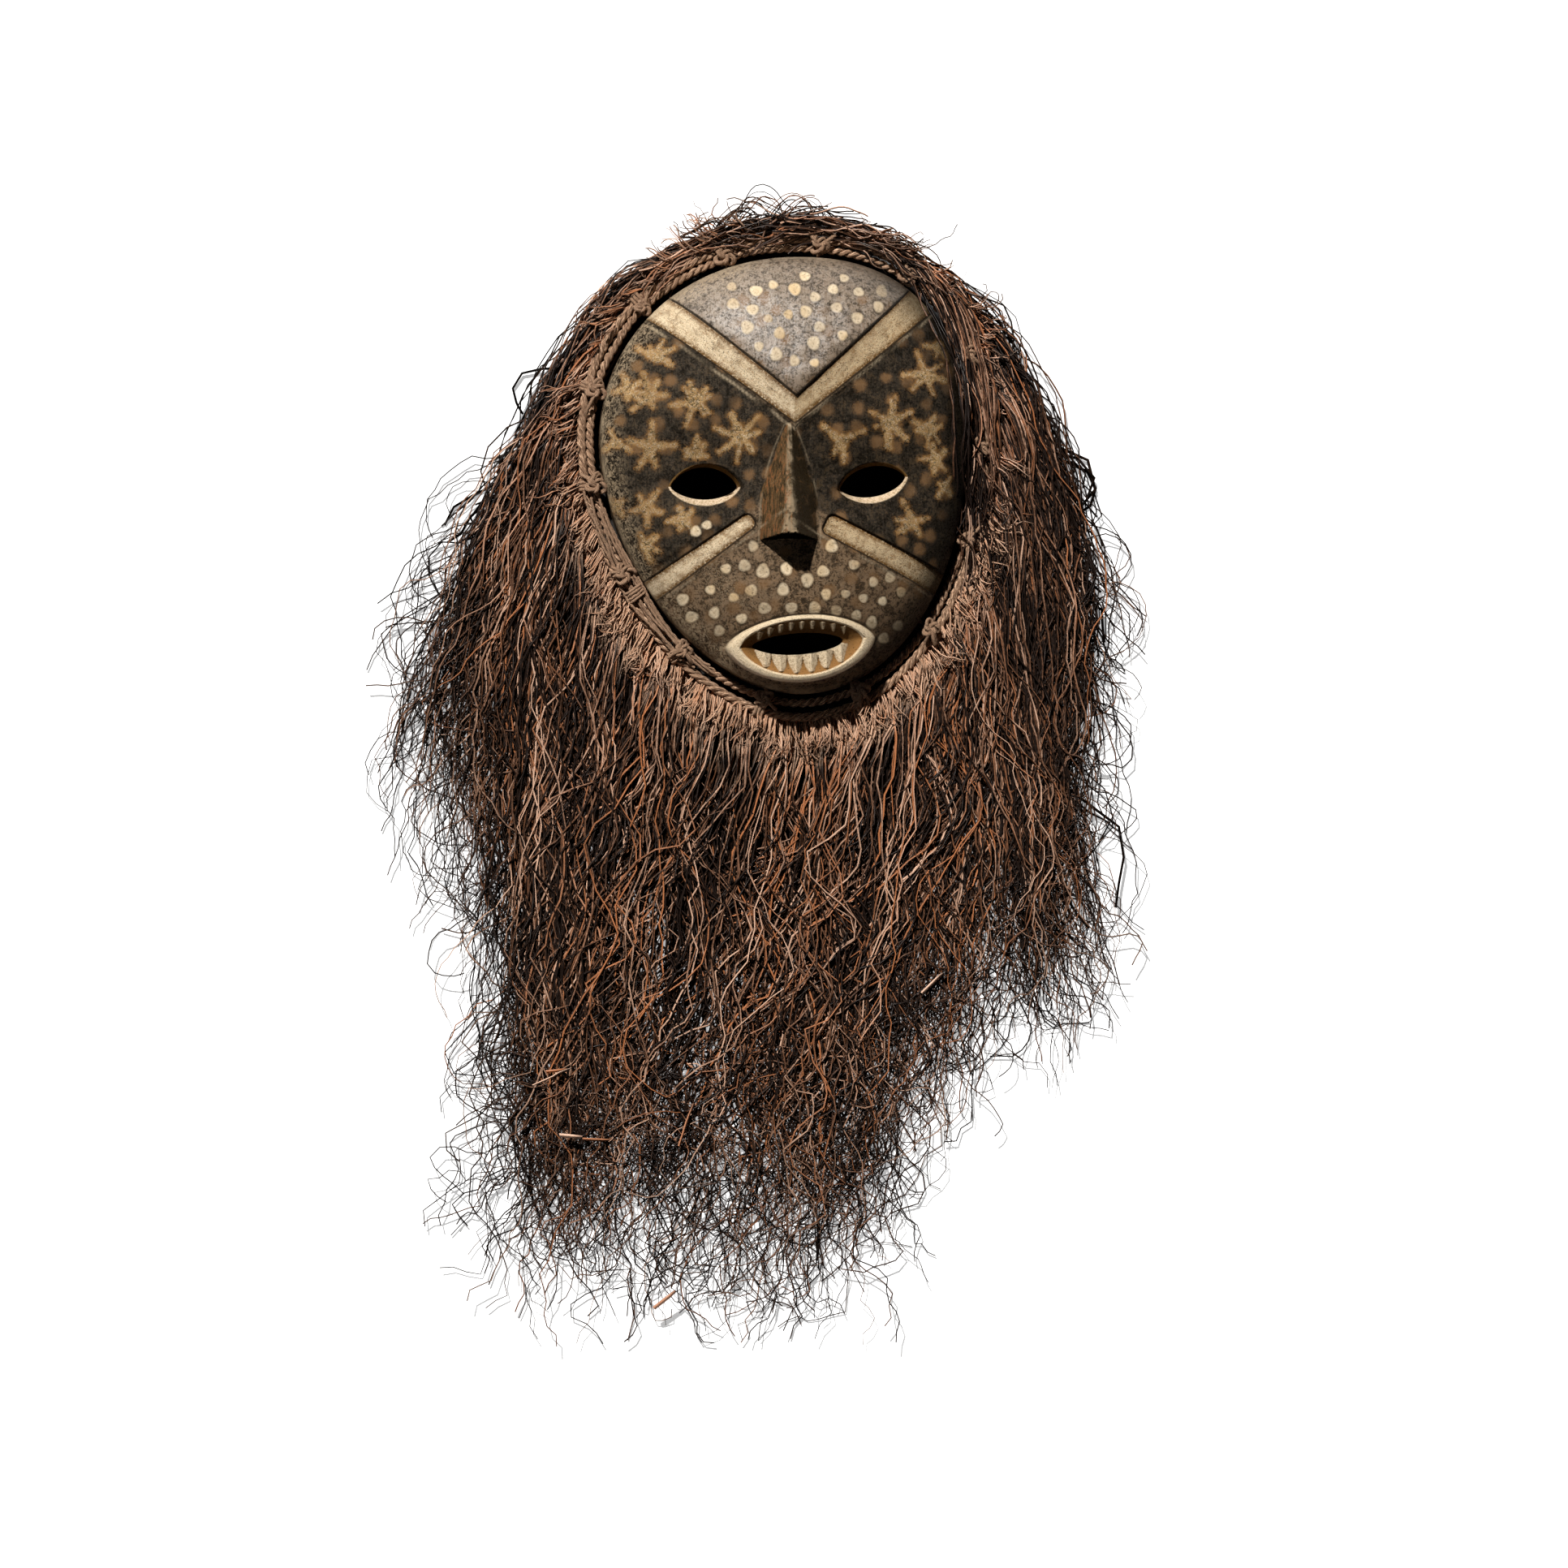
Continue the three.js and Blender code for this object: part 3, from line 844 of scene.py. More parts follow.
@dataclass
class CarvedFace:
    """The wooden face: its relief, its painted marks and its hollow back."""

    bars: tuple[Bar, ...] = (
        Bar((4, 13), (-80, 79), 11, 17),
        Bar((0, 13), (80, 82), 10, 17),
        Bar((-22, -46), (-84, -91), 8, 12),
        Bar((19, -48), (92, -84), 11, 12),
    )
    bar_depth: float = 2.2
    bar_bevel: float = 0.45
    bar_corner: float = 3.2
    eyes: tuple[Almond, ...] = (
        Almond(-48, -28, 37, 11, 7, 0, 1.4),
        Almond(46.5, -25.5, 37, 9.5, 7.5, 11, 1.4),
    )
    lid_ends: float = 1.5
    lid_above: float = 1.8
    lid_below: float = 3.6
    lid_depth: float = 4.5
    nose_x: float = -1.5
    nose_ridge: float = -2.8
    nose_bridge: float = 7.0
    nose_base: float = -58.0
    nose_half: float = 16.0
    nose_rise: float = 26.0
    mouth: Almond = Almond(6.5, -115, 81, 15, 21, 4, 1.3)
    slot: Almond = Almond(4.5, -115, 51, 5.5, 6.5, 4, 1.2)
    bowl_depth: float = 8.0
    lip_inner: float = 0.86
    lip_wall: float = 252.0
    lip_groove: tuple[float, float, float] = (1.13, 0.5, 0.6)  # Where, how deep, how wide.
    nose_line: tuple[float, float, float] = (1.1, 0.35, 0.55)
    edge_share: float = 0.02
    brow_ledge: Pair = (3.3, 2.2)
    brow_step: float = 1.1
    cheek_step: float = 0.7
    outer_step: float = 1.3
    dents: Pair = (0.16, 0.05)
    stars: tuple[Star, ...] = (
        Star(-75, 45, 10, 5, 70, 190, 2.4),
        Star(-90, 27, 9, 5, 100, 330, 1.6),
        Star(-79, 23, 11, 6, 45, 360, 1.8),
        Star(-53, 19, 12.5, 8, 12, 360, 3.6),
        Star(-28, 0, 13.5, 7, 10, 360, 3.6),
        Star(-78, -5, 13, 5, 80, 330, 4.6),
        Star(-52.5, -9.5, 9, 5, 90, 240, 2.6),
        Star(-97, -3, 9, 3, 90, 230, 2.0),
        Star(-80, -39, 10, 5, 125, 300, 3.2),
        Star(-59.5, -46, 9, 5, 110, 320, 2.6),
        Star(-80, -60, 9, 4, 10, 200, 1.6),
        Star(-96, -38, 6, 4, 30, 360, 1.2),
        Star(28, -3, 12, 4, 92, 330, 4.4),
        Star(55.5, 8, 13, 7, 78, 350, 5.2),
        Star(77.5, 5, 9, 6, 20, 360, 5.4),
        Star(77, 35, 13, 6, 110, 360, 4.2),
        Star(82, -12, 12, 5, 30, 360, 2.0),
        Star(69, -47, 12, 5, 20, 330, 3.4),
        Star(85, 52, 8, 3, 250, 120, 3.6),
        Star(88, -27, 6, 4, 60, 360, 1.0),
        Star(55.5, 8, 23, 1, 71, 0, 1.2),
    )
    lone_dots: tuple[tuple[float, float, float], ...] = ((-53, -53, 2.7), (-47, -49.5, 2.6))
    dot_radius: Pair = (2.4, 3.4)
    forehead_dots: Sprinkle = Sprinkle((-56, 62), (14, 92), 27, 9.6)
    chin_dots: Sprinkle = Sprinkle((-62, 66), (-122, -46), 38, 10.0)
    faded_spots: Sprinkle = Sprinkle((-100, 98), (-120, 80), 120, 9.0)
    arm_seed: int = 40
    arm_turn: float = 12.0
    arm_length: Pair = (0.62, 1.15)
    arm_thick: Pair = (1.25, 2.15)
    arm_bend: float = 0.22
    tooth_rows: tuple[ToothRow, ...] = (ToothRow(-1, 6, 8.6, 0.3, 0.52, 3.6, 1.0),
                                        ToothRow(1, 9, 6.0, 0.52, 0.16, 3.0, 0.6))
    throws: int = 6000
    middle: float = 2.0
    bridge_half: float = 1.5
    rim_points: int = 480
    grid: float = 1.25
    fine: float = 0.55
    seed: int = 11
    dots: Points = field(init=False)
    ghosts: Points = field(init=False)

    def __post_init__(self) -> None:
        """Scatters the dots and the faded spots, the same way each time."""
        rng = np.random.default_rng(self.seed)
        self.dots = np.vstack([
            self.scatter(rng, self.forehead_dots, self.on_forehead),
            self.scatter(rng, self.chin_dots, self.on_chin),
            np.array(self.lone_dots),
        ])
        self.ghosts = self.scatter(rng, self.faded_spots, self.in_ghost_zone)

    def scatter(self, rng: np.random.Generator, area: Sprinkle, zone: Callable) -> Points:
        """Throws down round spots that keep their distance from each other.

        Args:
            rng: the seeded source of chance.
            area: where they may lie, how many there may be and how far apart.
            zone: tells how likely a place is to take a spot, from 0 to 1.

        Returns:
            One row of x, y and radius for each spot.
        """
        spots: list[tuple[float, float, float]] = []
        for _ in range(self.throws):
            x, y = rng.uniform(*area.across), rng.uniform(*area.up)
            likely = float(zone(np.array([x]), np.array([y]))[0])
            close = any(math.dist((x, y), spot[:2]) < area.apart for spot in spots)
            if not close and rng.uniform() < likely and len(spots) < area.count:
                spots.append((x, y, rng.uniform(*self.dot_radius)))
        return np.array(spots)

    def on_forehead(self, x: Points, y: Points) -> Points:
        """Where the forehead takes dots, thinly towards its upper left."""
        free = np.minimum(self.bars[0].above(x, y), self.bars[1].above(x, y)) > 12.5
        return free * (PLAN.share(x, y) < 0.9) * np.where(x + 0.7 * y < 12, 0.012, 0.8)

    def on_chin(self, x: Points, y: Points) -> Points:
        """Where the space between the lower bars and the mouth takes dots.

        Args:
            x: the points' places across the face.
            y: the points' places up the face.

        Returns:
            How likely each place is to take a dot.
        """
        below = np.maximum(self.bars[2].above(x, y), self.bars[3].above(x, y)) < -10.5
        nose = (np.abs(x - self.nose_x) > 18) | (y < -72)
        mouth = ~self.mouth.scaled(1.16).holds(x, y)
        return (below & nose & mouth & (PLAN.share(x, y) < 0.93)) * 1.0

    def in_ghost_zone(self, x: Points, y: Points) -> Points:
        """Where faded brown spots lie under the other marks."""
        mouth = ~self.mouth.scaled(1.2).holds(x, y)
        return (mouth & (PLAN.share(x, y) < 0.93)) * 1.0

    def swell(self, x: Points, y: Points, at: Pair, height: float,
              spread: Pair) -> Points:
        """A soft rise or hollow round a place."""
        return height * np.exp(-(((x - at[0]) / spread[0]) ** 2)
                               - ((y - at[1]) / spread[1]) ** 2)

    def sides(self, x: Points, y: Points) -> list[tuple[Points, Points, Points]]:
        """How each point lies to the nearer brow bar, and to the nearer lower bar.

        Args:
            x: the points' places across the face.
            y: the points' places up the face.

        Returns:
            For each of the two: the distance above it, the distance along it, its half width.
        """
        left = x < self.middle
        rows = []
        for bar in self.bars:
            along = bar.along(x, y)
            rows.append((bar.above(x, y), along, bar.half(along)))
        return [tuple(np.where(left, a, b) for a, b in zip(*rows[k:k + 2])) for k in (0, 2)]

    def ground(self, x: Points, y: Points) -> Points:
        """The face's plain height, before nose, mouth, eyes and bars.

        Args:
            x: the points' places across the face.
            y: the points' places up the face.

        Returns:
            The heights.
        """
        (brow, *_), (cheek, *_) = self.sides(x, y)
        sockets = (self.swell(x, y, (-46, -20), -7, (40, 24))
                   + self.swell(x, y, (44, -20), -7, (38, 24)))
        between = (1 - smoothstep(brow, -12, 0)) * smoothstep(cheek, -2, 8)
        edge = 1 - PLAN.share(x, y) ** 8
        forehead = 4 * smoothstep(brow, -6, 14)
        return PLAN.dome(x, y) + edge * (forehead + sockets * between + self.muzzle(x, y))

    def muzzle(self, x: Points, y: Points) -> Points:
        """The swell round the mouth."""
        return self.swell(x, y, (5, -98), 9, (46, 36))

    def nose_width(self, share: Points) -> Points:
        """Half of the nose's width at a share of its length, from the bridge down."""
        return mix(self.bridge_half, self.nose_half, 1 - (1 - np.minimum(share, 1)) ** 2.2)

    def beside_nose(self, x: Points, y: Points) -> Points:
        """The distance out from the nose's foot."""
        share = np.clip((self.nose_bridge - y) / (self.nose_bridge - self.nose_base), 0, 1)
        return np.abs(x - self.nose_x) - self.nose_width(share)

    def nose(self, x: Points, y: Points) -> tuple[Points, Points, Points]:
        """The nose's height, the share from its foot to its ridge, and its underside.

        Args:
            x: the points' places across the face.
            y: the points' places up the face.

        Returns:
            The heights, the shares, and how far each point lies under the tip.
        """
        rise = np.zeros_like(x)
        for _ in range(5):
            t = np.clip((self.nose_bridge - y)
                        / (self.nose_bridge - self.nose_base - 3 * np.clip(rise, 0, 1)), 0, 1.1)
            half = self.nose_width(t)
            ridge = mix(self.nose_x, self.nose_ridge, t)
            left = (x - self.nose_x + half) / (ridge - 1 - 3.5 * t**5 - self.nose_x + half)
            right = (self.nose_x + half - x) / (self.nose_x + half - ridge - 1 - 2 * t**5)
            rise = np.minimum(np.minimum(left, right), 1)
        foot = self.ground(np.full_like(x, self.nose_x), mix(self.nose_bridge, self.nose_base, t))
        crest = foot + 0.5 + self.nose_rise * t**0.85
        flank = mix(foot - 1, crest, rise)
        base = float(self.ground(np.array([self.nose_x]), np.array([self.nose_base]))[0]) - 1
        under = base + (y - self.nose_base) / 3 * (self.nose_rise + 1.5)
        height = np.minimum(flank, under)
        below = smoothstep(flank - under, 0, 0.8) * (rise > -0.2)
        return np.where((y < self.nose_bridge) & (rise > -0.2), height, -50), rise, below

    def lip_level(self, x: Points, y: Points) -> Points:
        """The height of the lips' top."""
        across = (x - self.mouth.x) / (self.mouth.width / 2)
        return 53 + 0.24 * (y - self.mouth.y) - 9 * across**2

    def teeth(self, x: Points, y: Points) -> Points:
        """The height of both rows of teeth, below the lips' top and well down elsewhere.

        Args:
            x: the points' places across the face.
            y: the points' places up the face.

        Returns:
            The heights, measured from the lips' top.
        """
        along, up = self.mouth.local(x, y)
        total = np.full_like(x, -30.0)
        for side, count, pitch, root, tip, rise, reach in map(astuple, self.tooth_rows):
            lip = self.mouth.below if side < 0 else self.mouth.above
            gum = self.slot.below if side < 0 else self.slot.above
            for i in range(count):
                middle = (i - (count - 1) / 2) * pitch
                start = side * lip * 0.79 * (1 - (2 * middle / self.mouth.width) ** 2)
                end = side * gum * 0.92 * (1 - (2 * middle / (self.slot.width * 1.05)) ** 2)
                end = mix(start, end, reach)
                t = (up - start) / (end - start)
                half = pitch * mix(root, tip, np.clip(t, 0, 1))
                slant = np.abs(along - middle) / half
                top = -mix(1.6, self.bowl_depth - rise, np.clip(t, 0, 1))
                wedge = top + np.where(slant < 1, mix(rise / 2, -1, slant),
                                       -1 - (slant - 1) * half * 5)
                past = np.maximum(0, np.maximum(-t, t - 1)) * np.abs(end - start)
                total = np.maximum(total, wedge - past * 6)
        return total

    def bar_field(self, x: Points, y: Points) -> Points:
        """The distance to the nearest bar, below 0 inside it.

        Args:
            x: the points' places across the face.
            y: the points' places up the face.

        Returns:
            The distances.
        """
        upper, lower = [], []
        for bar in self.bars[:2]:
            half = bar.half(bar.along(x, y))
            upper.append(bar.above(x, y) - half)
            lower.append(-bar.above(x, y) - half)
        brow = np.maximum(np.minimum(*upper), np.maximum(*lower))
        near = brow
        for bar in self.bars[2:]:
            along = bar.along(x, y)
            side = np.abs(bar.above(x, y)) - bar.half(along) + self.bar_corner
            back = -along + self.bar_corner
            round_end = (np.hypot(np.maximum(side, 0), np.maximum(back, 0))
                         + np.minimum(np.maximum(side, back), 0) - self.bar_corner)
            near = np.minimum(near, round_end)
        return near

    def survey(self, x: Points, y: Points) -> dict[str, Points]:
        """Gives the carved height and everything that the paint needs to know.

        Args:
            x: the points' places across the face.
            y: the points' places up the face.

        Returns:
            The height as "z", and each paint field by its name, in millimetres or shares.
        """
        share = PLAN.share(x, y)
        inland = np.clip((1 - share) / self.edge_share, 0, 1)
        (brow, brow_along, brow_half), (cheek, cheek_along, cheek_half) = self.sides(x, y)
        near_left = x < self.middle

        # Narrow steps left by the carver beside the bars.
        under_brow = -brow - brow_half
        ledge = np.where(near_left, *self.brow_ledge) + 0.25 * waves(x, y, 18, 3)
        step = self.brow_step * smoothstep(under_brow, ledge - 0.5, ledge + 0.5)
        step = step * (1 - smoothstep(under_brow, 7, 26))
        under_cheek = -cheek - cheek_half
        step += (self.cheek_step * smoothstep(under_cheek, 2.2, 3.0)
                 * (1 - smoothstep(under_cheek, 5, 20)) * (cheek_along > -4))
        over_cheek = cheek - cheek_half
        outer = smoothstep(cheek_along, 12, 40) * near_left
        step += (self.outer_step * (over_cheek > -1) * (1 - smoothstep(over_cheek, 3.9, 4.8))
                 * outer)

        # The plain wood, the nose and the line cut round the nose's foot.
        ground = self.ground(x, y) - step * inland
        broad, small = self.dents
        ground += inland * (broad * waves(x, y, 15, 5) + small * waves(x, y, 5, 6))
        nose, rise, below = self.nose(x, y)
        beside = (y < self.nose_bridge + 2) & (y > self.nose_base - 2)
        out, deep, wide = self.nose_line
        line = np.where(beside, np.abs(self.beside_nose(x, y) - out), CLEAR)
        ground -= deep * np.exp(-((line / wide) ** 2))

        # The lips, the bowl inside them and the teeth.
        grow = self.mouth.scaled(1e-3).share_to(self.mouth, x, y, 2.0)
        lip_side = self.mouth.local(x, y)[1]
        out, deep, wide = self.lip_groove
        groove = np.where(lip_side > 0, np.abs(grow - out) * 14, CLEAR)
        ground -= deep * np.exp(-((groove / wide) ** 2))
        lip = self.lip_level(x, y)
        profile = np.interp(grow, [0.8, self.lip_inner, 0.89, 0.95, 1.0, 1.02, 1.05, 2],
                            [-0.6, 0, 0.35, 0, -0.9, -4, -9, -60])
        wood = soft_max(ground, nose, 0.7)
        wood = np.where(grow < 1.6, soft_max(wood, lip + profile, 0.5), wood)
        inner = self.lip_inner + 0.012 * waves(x, y, 6, 31) * (lip_side > 0)
        wall = lip - 0.6 + self.lip_wall * (grow - inner)
        wood = soft_min(wood, np.where(grow < 1.3, wall, 200), 0.2)
        bowl_share = self.slot.share_to(self.mouth.scaled(self.lip_inner), x, y, 1.0)
        bowl = lip - mix(self.bowl_depth, 0.6, bowl_share)
        tooth = lip + self.teeth(x, y)
        in_bowl = grow < inner
        wood = np.where(in_bowl, np.maximum(bowl, tooth), wood)

        # The lids, which slope down to the eye holes.
        lids = np.full_like(x, CLEAR)
        upper_lid = np.zeros_like(x)
        for eye in self.eyes:
            opened = replace(eye, width=eye.width + 2 * self.lid_ends,
                             above=eye.above + self.lid_above,
                             below=eye.below + self.lid_below)
            lid = eye.share_to(opened, x, y, 5.0)
            level = float(self.ground(np.array([eye.x]), np.array([eye.y]))[0])
            slope = level - self.lid_depth + self.lid_depth * lid
            wood = np.where(lid < 4.9, soft_min(wood, slope, 0.25), wood)
            lids = np.minimum(lids, lid)
            upper_lid = np.where(lid < 2.5, eye.local(x, y)[1] > 0, upper_lid)

        # The sunk bars.
        bars = self.bar_field(x, y)
        on_brow = np.abs(brow) - brow_half < np.abs(cheek) - cheek_half
        floor = self.ground(x, y) - self.bar_depth * inland
        wall = floor + np.maximum(bars, 0) / self.bar_bevel
        floor_wave = 0.1 * waves(x, y, 11, 8)
        wood = np.where(bars < 1.6, soft_min(wood, wall + floor_wave * (bars < 0), 0.25), wood)

        dots, dot_fade = self.near_spots(x, y, self.dots)
        stars, star_fade = self.near_stars(x, y)
        return {
            "z": wood,
            "bars": bars,
            "bar_along": np.where(on_brow, brow_along, cheek_along) + 200 * near_left,
            "bar_across": np.where(on_brow, brow, cheek),
            "dots": dots,
            "dot_fade": dot_fade,
            "ghosts": self.near_spots(x, y, self.ghosts)[0],
            "stars": stars,
            "star_fade": star_fade,
            "forehead": smoothstep(brow, -2, 16),
            "lids": lids,
            "upper_lid": upper_lid,
            "mouth_grow": grow,
            "bowl": np.where(in_bowl, bowl_share, 1),
            "teeth": np.where(in_bowl, np.clip((tooth - bowl) / 0.6, 0, 1), 0),
            "nose": np.clip(nose - ground, -5, 30),
            "nose_rise": np.clip(rise, -1, 1),
            # Where the nose's underside lies, which the paint makes near-black as shade.
            "nose_below": below * (nose > ground - 0.5),
            # The right side of the nose, which the paint darkens as shade.
            "nose_side": x > mix(self.nose_x, self.nose_ridge, 0.5),
            "sector": (1 - smoothstep(brow, -9, -5)) * smoothstep(cheek, 2, 6),
            "worn": self.wear(x, y, under_brow - ledge, under_cheek - 2.6, line, share),
            "rim_gap": (1 - share) * PLAN.mean_radius,
            "leftward": smoothstep(-x, -10, 50),
            # Painted shade over the right part of the rim.
            "grime": smoothstep(share, 0.76, 0.97) * smoothstep(x, 15, 75),
            "lip_side": lip_side,
        }

    def wear(self, x: Points, y: Points, brow_line: Points, cheek_line: Points,
             nose_line: Points, share: Points) -> Points:
        """How rubbed each place is, from 0 to 1: step edges, the nose's foot and the rim.

        Args:
            x: the points' places across the face.
            y: the points' places up the face.
            brow_line: the distance from the brow step's edge.
            cheek_line: the distance from the lower step's edge.
            nose_line: the distance from the line round the nose's foot.
            share: how far out each point lies.

        Returns:
            The wear of each point.
        """
        patchy = np.clip(0.6 + 0.45 * waves(x, y, 16, 21), 0, 1)
        rubbed = [strength * np.exp(-((line / width) ** 2)) * patchy for strength, line, width in
                  ((1, brow_line, 0.55), (0.7, cheek_line, 0.5), (0.3, nose_line, 0.5))]
        rim = 0.5 * smoothstep(share, 0.975, 0.998) * patchy * (x < 30)
        return np.clip(np.maximum.reduce([*rubbed, rim]), 0, 1)

    def near_spots(self, x: Points, y: Points, spots: Points) -> tuple[Points, Points]:
        """The distance to the nearest spot's edge, below 0 inside it, and how strong it is.

        Args:
            x: the points' places across the face.
            y: the points' places up the face.
            spots: one row of x, y and radius for each spot.

        Returns:
            The distances and the strengths.
        """
        near, fade = np.full_like(x, FAR), np.zeros_like(x)
        for i, (sx, sy, radius) in enumerate(spots):
            dx, dy = x - sx, (y - sy) * (1 + 0.14 * math.sin(i * 2.4))
            angle = np.arctan2(dy, dx)
            gap = np.hypot(dx, dy) - radius * (1 + 0.07 * np.sin(3 * angle + i))
            strength = (0.8 + 0.3 * math.sin(i * 1.9) * math.sin(i * 0.83 + 1)
                        - 0.25 * float(smoothstep(sx, 18, 62)))
            fade = np.where(gap < near, strength, fade)
            near = np.minimum(near, gap)
        return near, fade

    def near_stars(self, x: Points, y: Points) -> tuple[Points, Points]:
        """The distance to the nearest star's edge, below 0 inside it, and how strong it is.

        Args:
            x: the points' places across the face.
            y: the points' places up the face.

        Returns:
            The distances and the strengths.
        """
        near, fade = np.full_like(x, FAR), np.zeros_like(x)
        for number, star in enumerate(self.stars):
            rng = np.random.default_rng(self.arm_seed + number)
            turned = np.arctan2(y - star.y, x - star.x)
            blot = star.blot * (0.85 + 0.2 * np.sin(2 * turned + number)
                                + 0.1 * np.sin(5 * turned))
            reach = np.hypot(x - star.x, y - star.y) - blot
            for arm in range(star.arms):
                full = star.spread >= 360
                pace = star.spread / (star.arms if full else max(star.arms - 1, 1))
                first = star.turn if full else star.turn - star.spread / 2
                angle = math.radians(first + arm * pace
                                     + rng.uniform(-self.arm_turn, self.arm_turn))
                length = star.reach * rng.uniform(*self.arm_length)
                thick = rng.uniform(*self.arm_thick)
                ax, ay = math.cos(angle), math.sin(angle)
                along = np.clip((x - star.x) * ax + (y - star.y) * ay, 0, length)
                bend = self.arm_bend * rng.uniform(-1, 1) * along**2 / length
                gap = np.hypot(x - star.x - along * ax + bend * ay,
                               y - star.y - along * ay - bend * ax)
                width = thick * mix(1.2, 0.8, along / length) * (1 + 0.2 * np.sin(along + arm))
                reach = soft_min(reach, gap - width, 0.8)
            fade = np.where(reach < near, 0.84 + 0.18 * math.sin(number * 2.1), fade)
            near = np.minimum(near, reach)
        return near, fade

    def roof(self, x: Points, y: Points) -> Points:
        """The height of the hollow's roof."""
        return PLAN.dome(x, y) + 0.8 * self.muzzle(x, y) - PLAN.shell_depth

    def hole_loops(self, grow: float) -> list[Points]:
        """The outlines of the two eye holes and of the mouth's slot."""
        return [eye.ring(96, grow) for eye in self.eyes] + [self.slot.ring(128, grow)]

    def creases(self) -> list[Points]:
        """Open lines along which the relief turns sharply.

        Returns:
            The lines, one row of x and y for each point.
        """
        lines = []
        meets = {(0, 1): 7.0, (0, -1): -1.3, (1, 1): 9.0, (1, -1): -2.0}
        for number, bar in enumerate(self.bars):
            for side in (1, -1):
                start = meets.get((number, side), self.bar_corner + 0.2)
                for out in (0.0, self.bar_depth * self.bar_bevel):
                    lines.append(bar.edge(side, out, start + (0.6 if out else 0)))
        t = np.linspace(0.04, 1, 90)
        ridge = np.c_[mix(self.nose_x, self.nose_ridge, t),
                      mix(self.nose_bridge, self.nose_base + 3, t)]
        lines += [ridge + (side, 0) for side in (-1, 1)]
        foot = np.linspace(-self.nose_half, self.nose_half, 46) * 0.985
        lines.append(np.c_[self.nose_x + foot, np.full_like(foot, self.nose_base)])
        t = np.linspace(0.05, 0.97, 24)[:, None]
        for side in (-1, 1):
            start = np.array([self.nose_x + side * self.nose_half, self.nose_base])
            lines.append(mix(start, np.array([self.nose_ridge + side, self.nose_base + 3]), t))
        return lines

    def layout(self) -> tuple[Points, list[tuple[int, int]], list[Points]]:
        """Lays out the points that the relief is read at.

        Returns:
            The points, the edges that must stay, and the hole loops as index rows.
        """
        outline = PLAN.rim(self.rim_angles())
        closed = [outline, *self.hole_loops(1.0)]
        kept = len(closed)
        closed += [np.c_[mix(PLAN.centre, outline[:, 0], share), outline[:, 1] * share]
                   for share in (0.9985, 0.994, 0.986, 0.975)]
        closed += [self.mouth.ring(200, grow) for grow in (0.834, 0.89, 0.95, 1.0, 1.022)]
        lines = closed + self.creases()
        edges: list[tuple[int, int]] = []
        loops: list[Points] = []
        total = 0
        for number, line in enumerate(lines):
            loops.append(total + np.arange(len(line)))
            total += len(line)
            edges += self.joined(loops[-1], number < len(closed))
        fixed = np.vstack(lines)
        coarse, fine = self.hexes(self.grid), self.hexes(self.fine)
        loose = np.vstack([coarse[~self.wants_detail(*coarse.T)],
                           fine[self.wants_detail(*fine.T)]])
        tree = KDTree(len(fixed))
        for i, (x, y) in enumerate(fixed):
            tree.insert((x, y, 0), i)
        tree.balance()
        clear = np.array([tree.find((x, y, 0))[2] > 0.33 for x, y in loose])
        inside = PLAN.share(*loose.T) < 0.97
        keep = clear & inside & ~self.in_holes(*loose.T)
        return np.vstack([fixed, loose[keep]]), edges, loops[:kept]

    def rim_angles(self) -> Points:
        """The angles of the outline's points."""
        return np.arange(self.rim_points) / self.rim_points * TURN

    def joined(self, index: Points, closed: bool) -> list[tuple[int, int]]:
        """The edges that join a row of points, and the last to the first when closed."""
        pairs = zip(index, np.roll(index, -1) if closed else index[1:])
        return [(int(a), int(b)) for a, b in pairs]

    def hexes(self, size: float) -> Points:
        """An even grid of points over the face.

        Args:
            size: the distance between points.

        Returns:
            One row of x and y for each point.
        """
        x = np.arange(-108, 106, size)
        y = np.arange(-145, 105, size * math.sqrt(3) / 2)
        across, up = np.meshgrid(x, y)
        across[1::2] += size / 2
        return np.c_[across.ravel(), up.ravel()]

    def in_holes(self, x: Points, y: Points) -> Points:
        """Whether each point lies in an eye hole or in the mouth's slot."""
        return np.any([shape.holds(x, y) for shape in (*self.eyes, self.slot)], axis=0)

    def wants_detail(self, x: Points, y: Points) -> Points:
        """Where the relief or the paint needs the finer grid.

        Args:
            x: the points' places across the face.
            y: the points' places up the face.

        Returns:
            True where it does.
        """
        bars = np.abs(self.bar_field(x, y) - 0.5) < 1.5
        mouth = self.mouth.scaled(1.08).holds(x, y)
        lids = np.any([replace(eye, width=eye.width + 6, above=eye.above + 4,
                               below=eye.below + 6).holds(x, y) for eye in self.eyes], axis=0)
        foot = np.abs(self.beside_nose(x, y)) < 2.2
        nose = (foot & (y < self.nose_bridge) & (y > self.nose_base - 2)) | (
            (np.abs(x - self.nose_x) < self.nose_half + 1)
            & (np.abs(y - self.nose_base - 1.5) < 3))
        stars = np.abs(self.near_stars(x, y)[0]) < 0.8
        dots = np.abs(self.near_spots(x, y, self.dots)[0]) < 0.8
        return bars | mouth | lids | nose | stars | dots

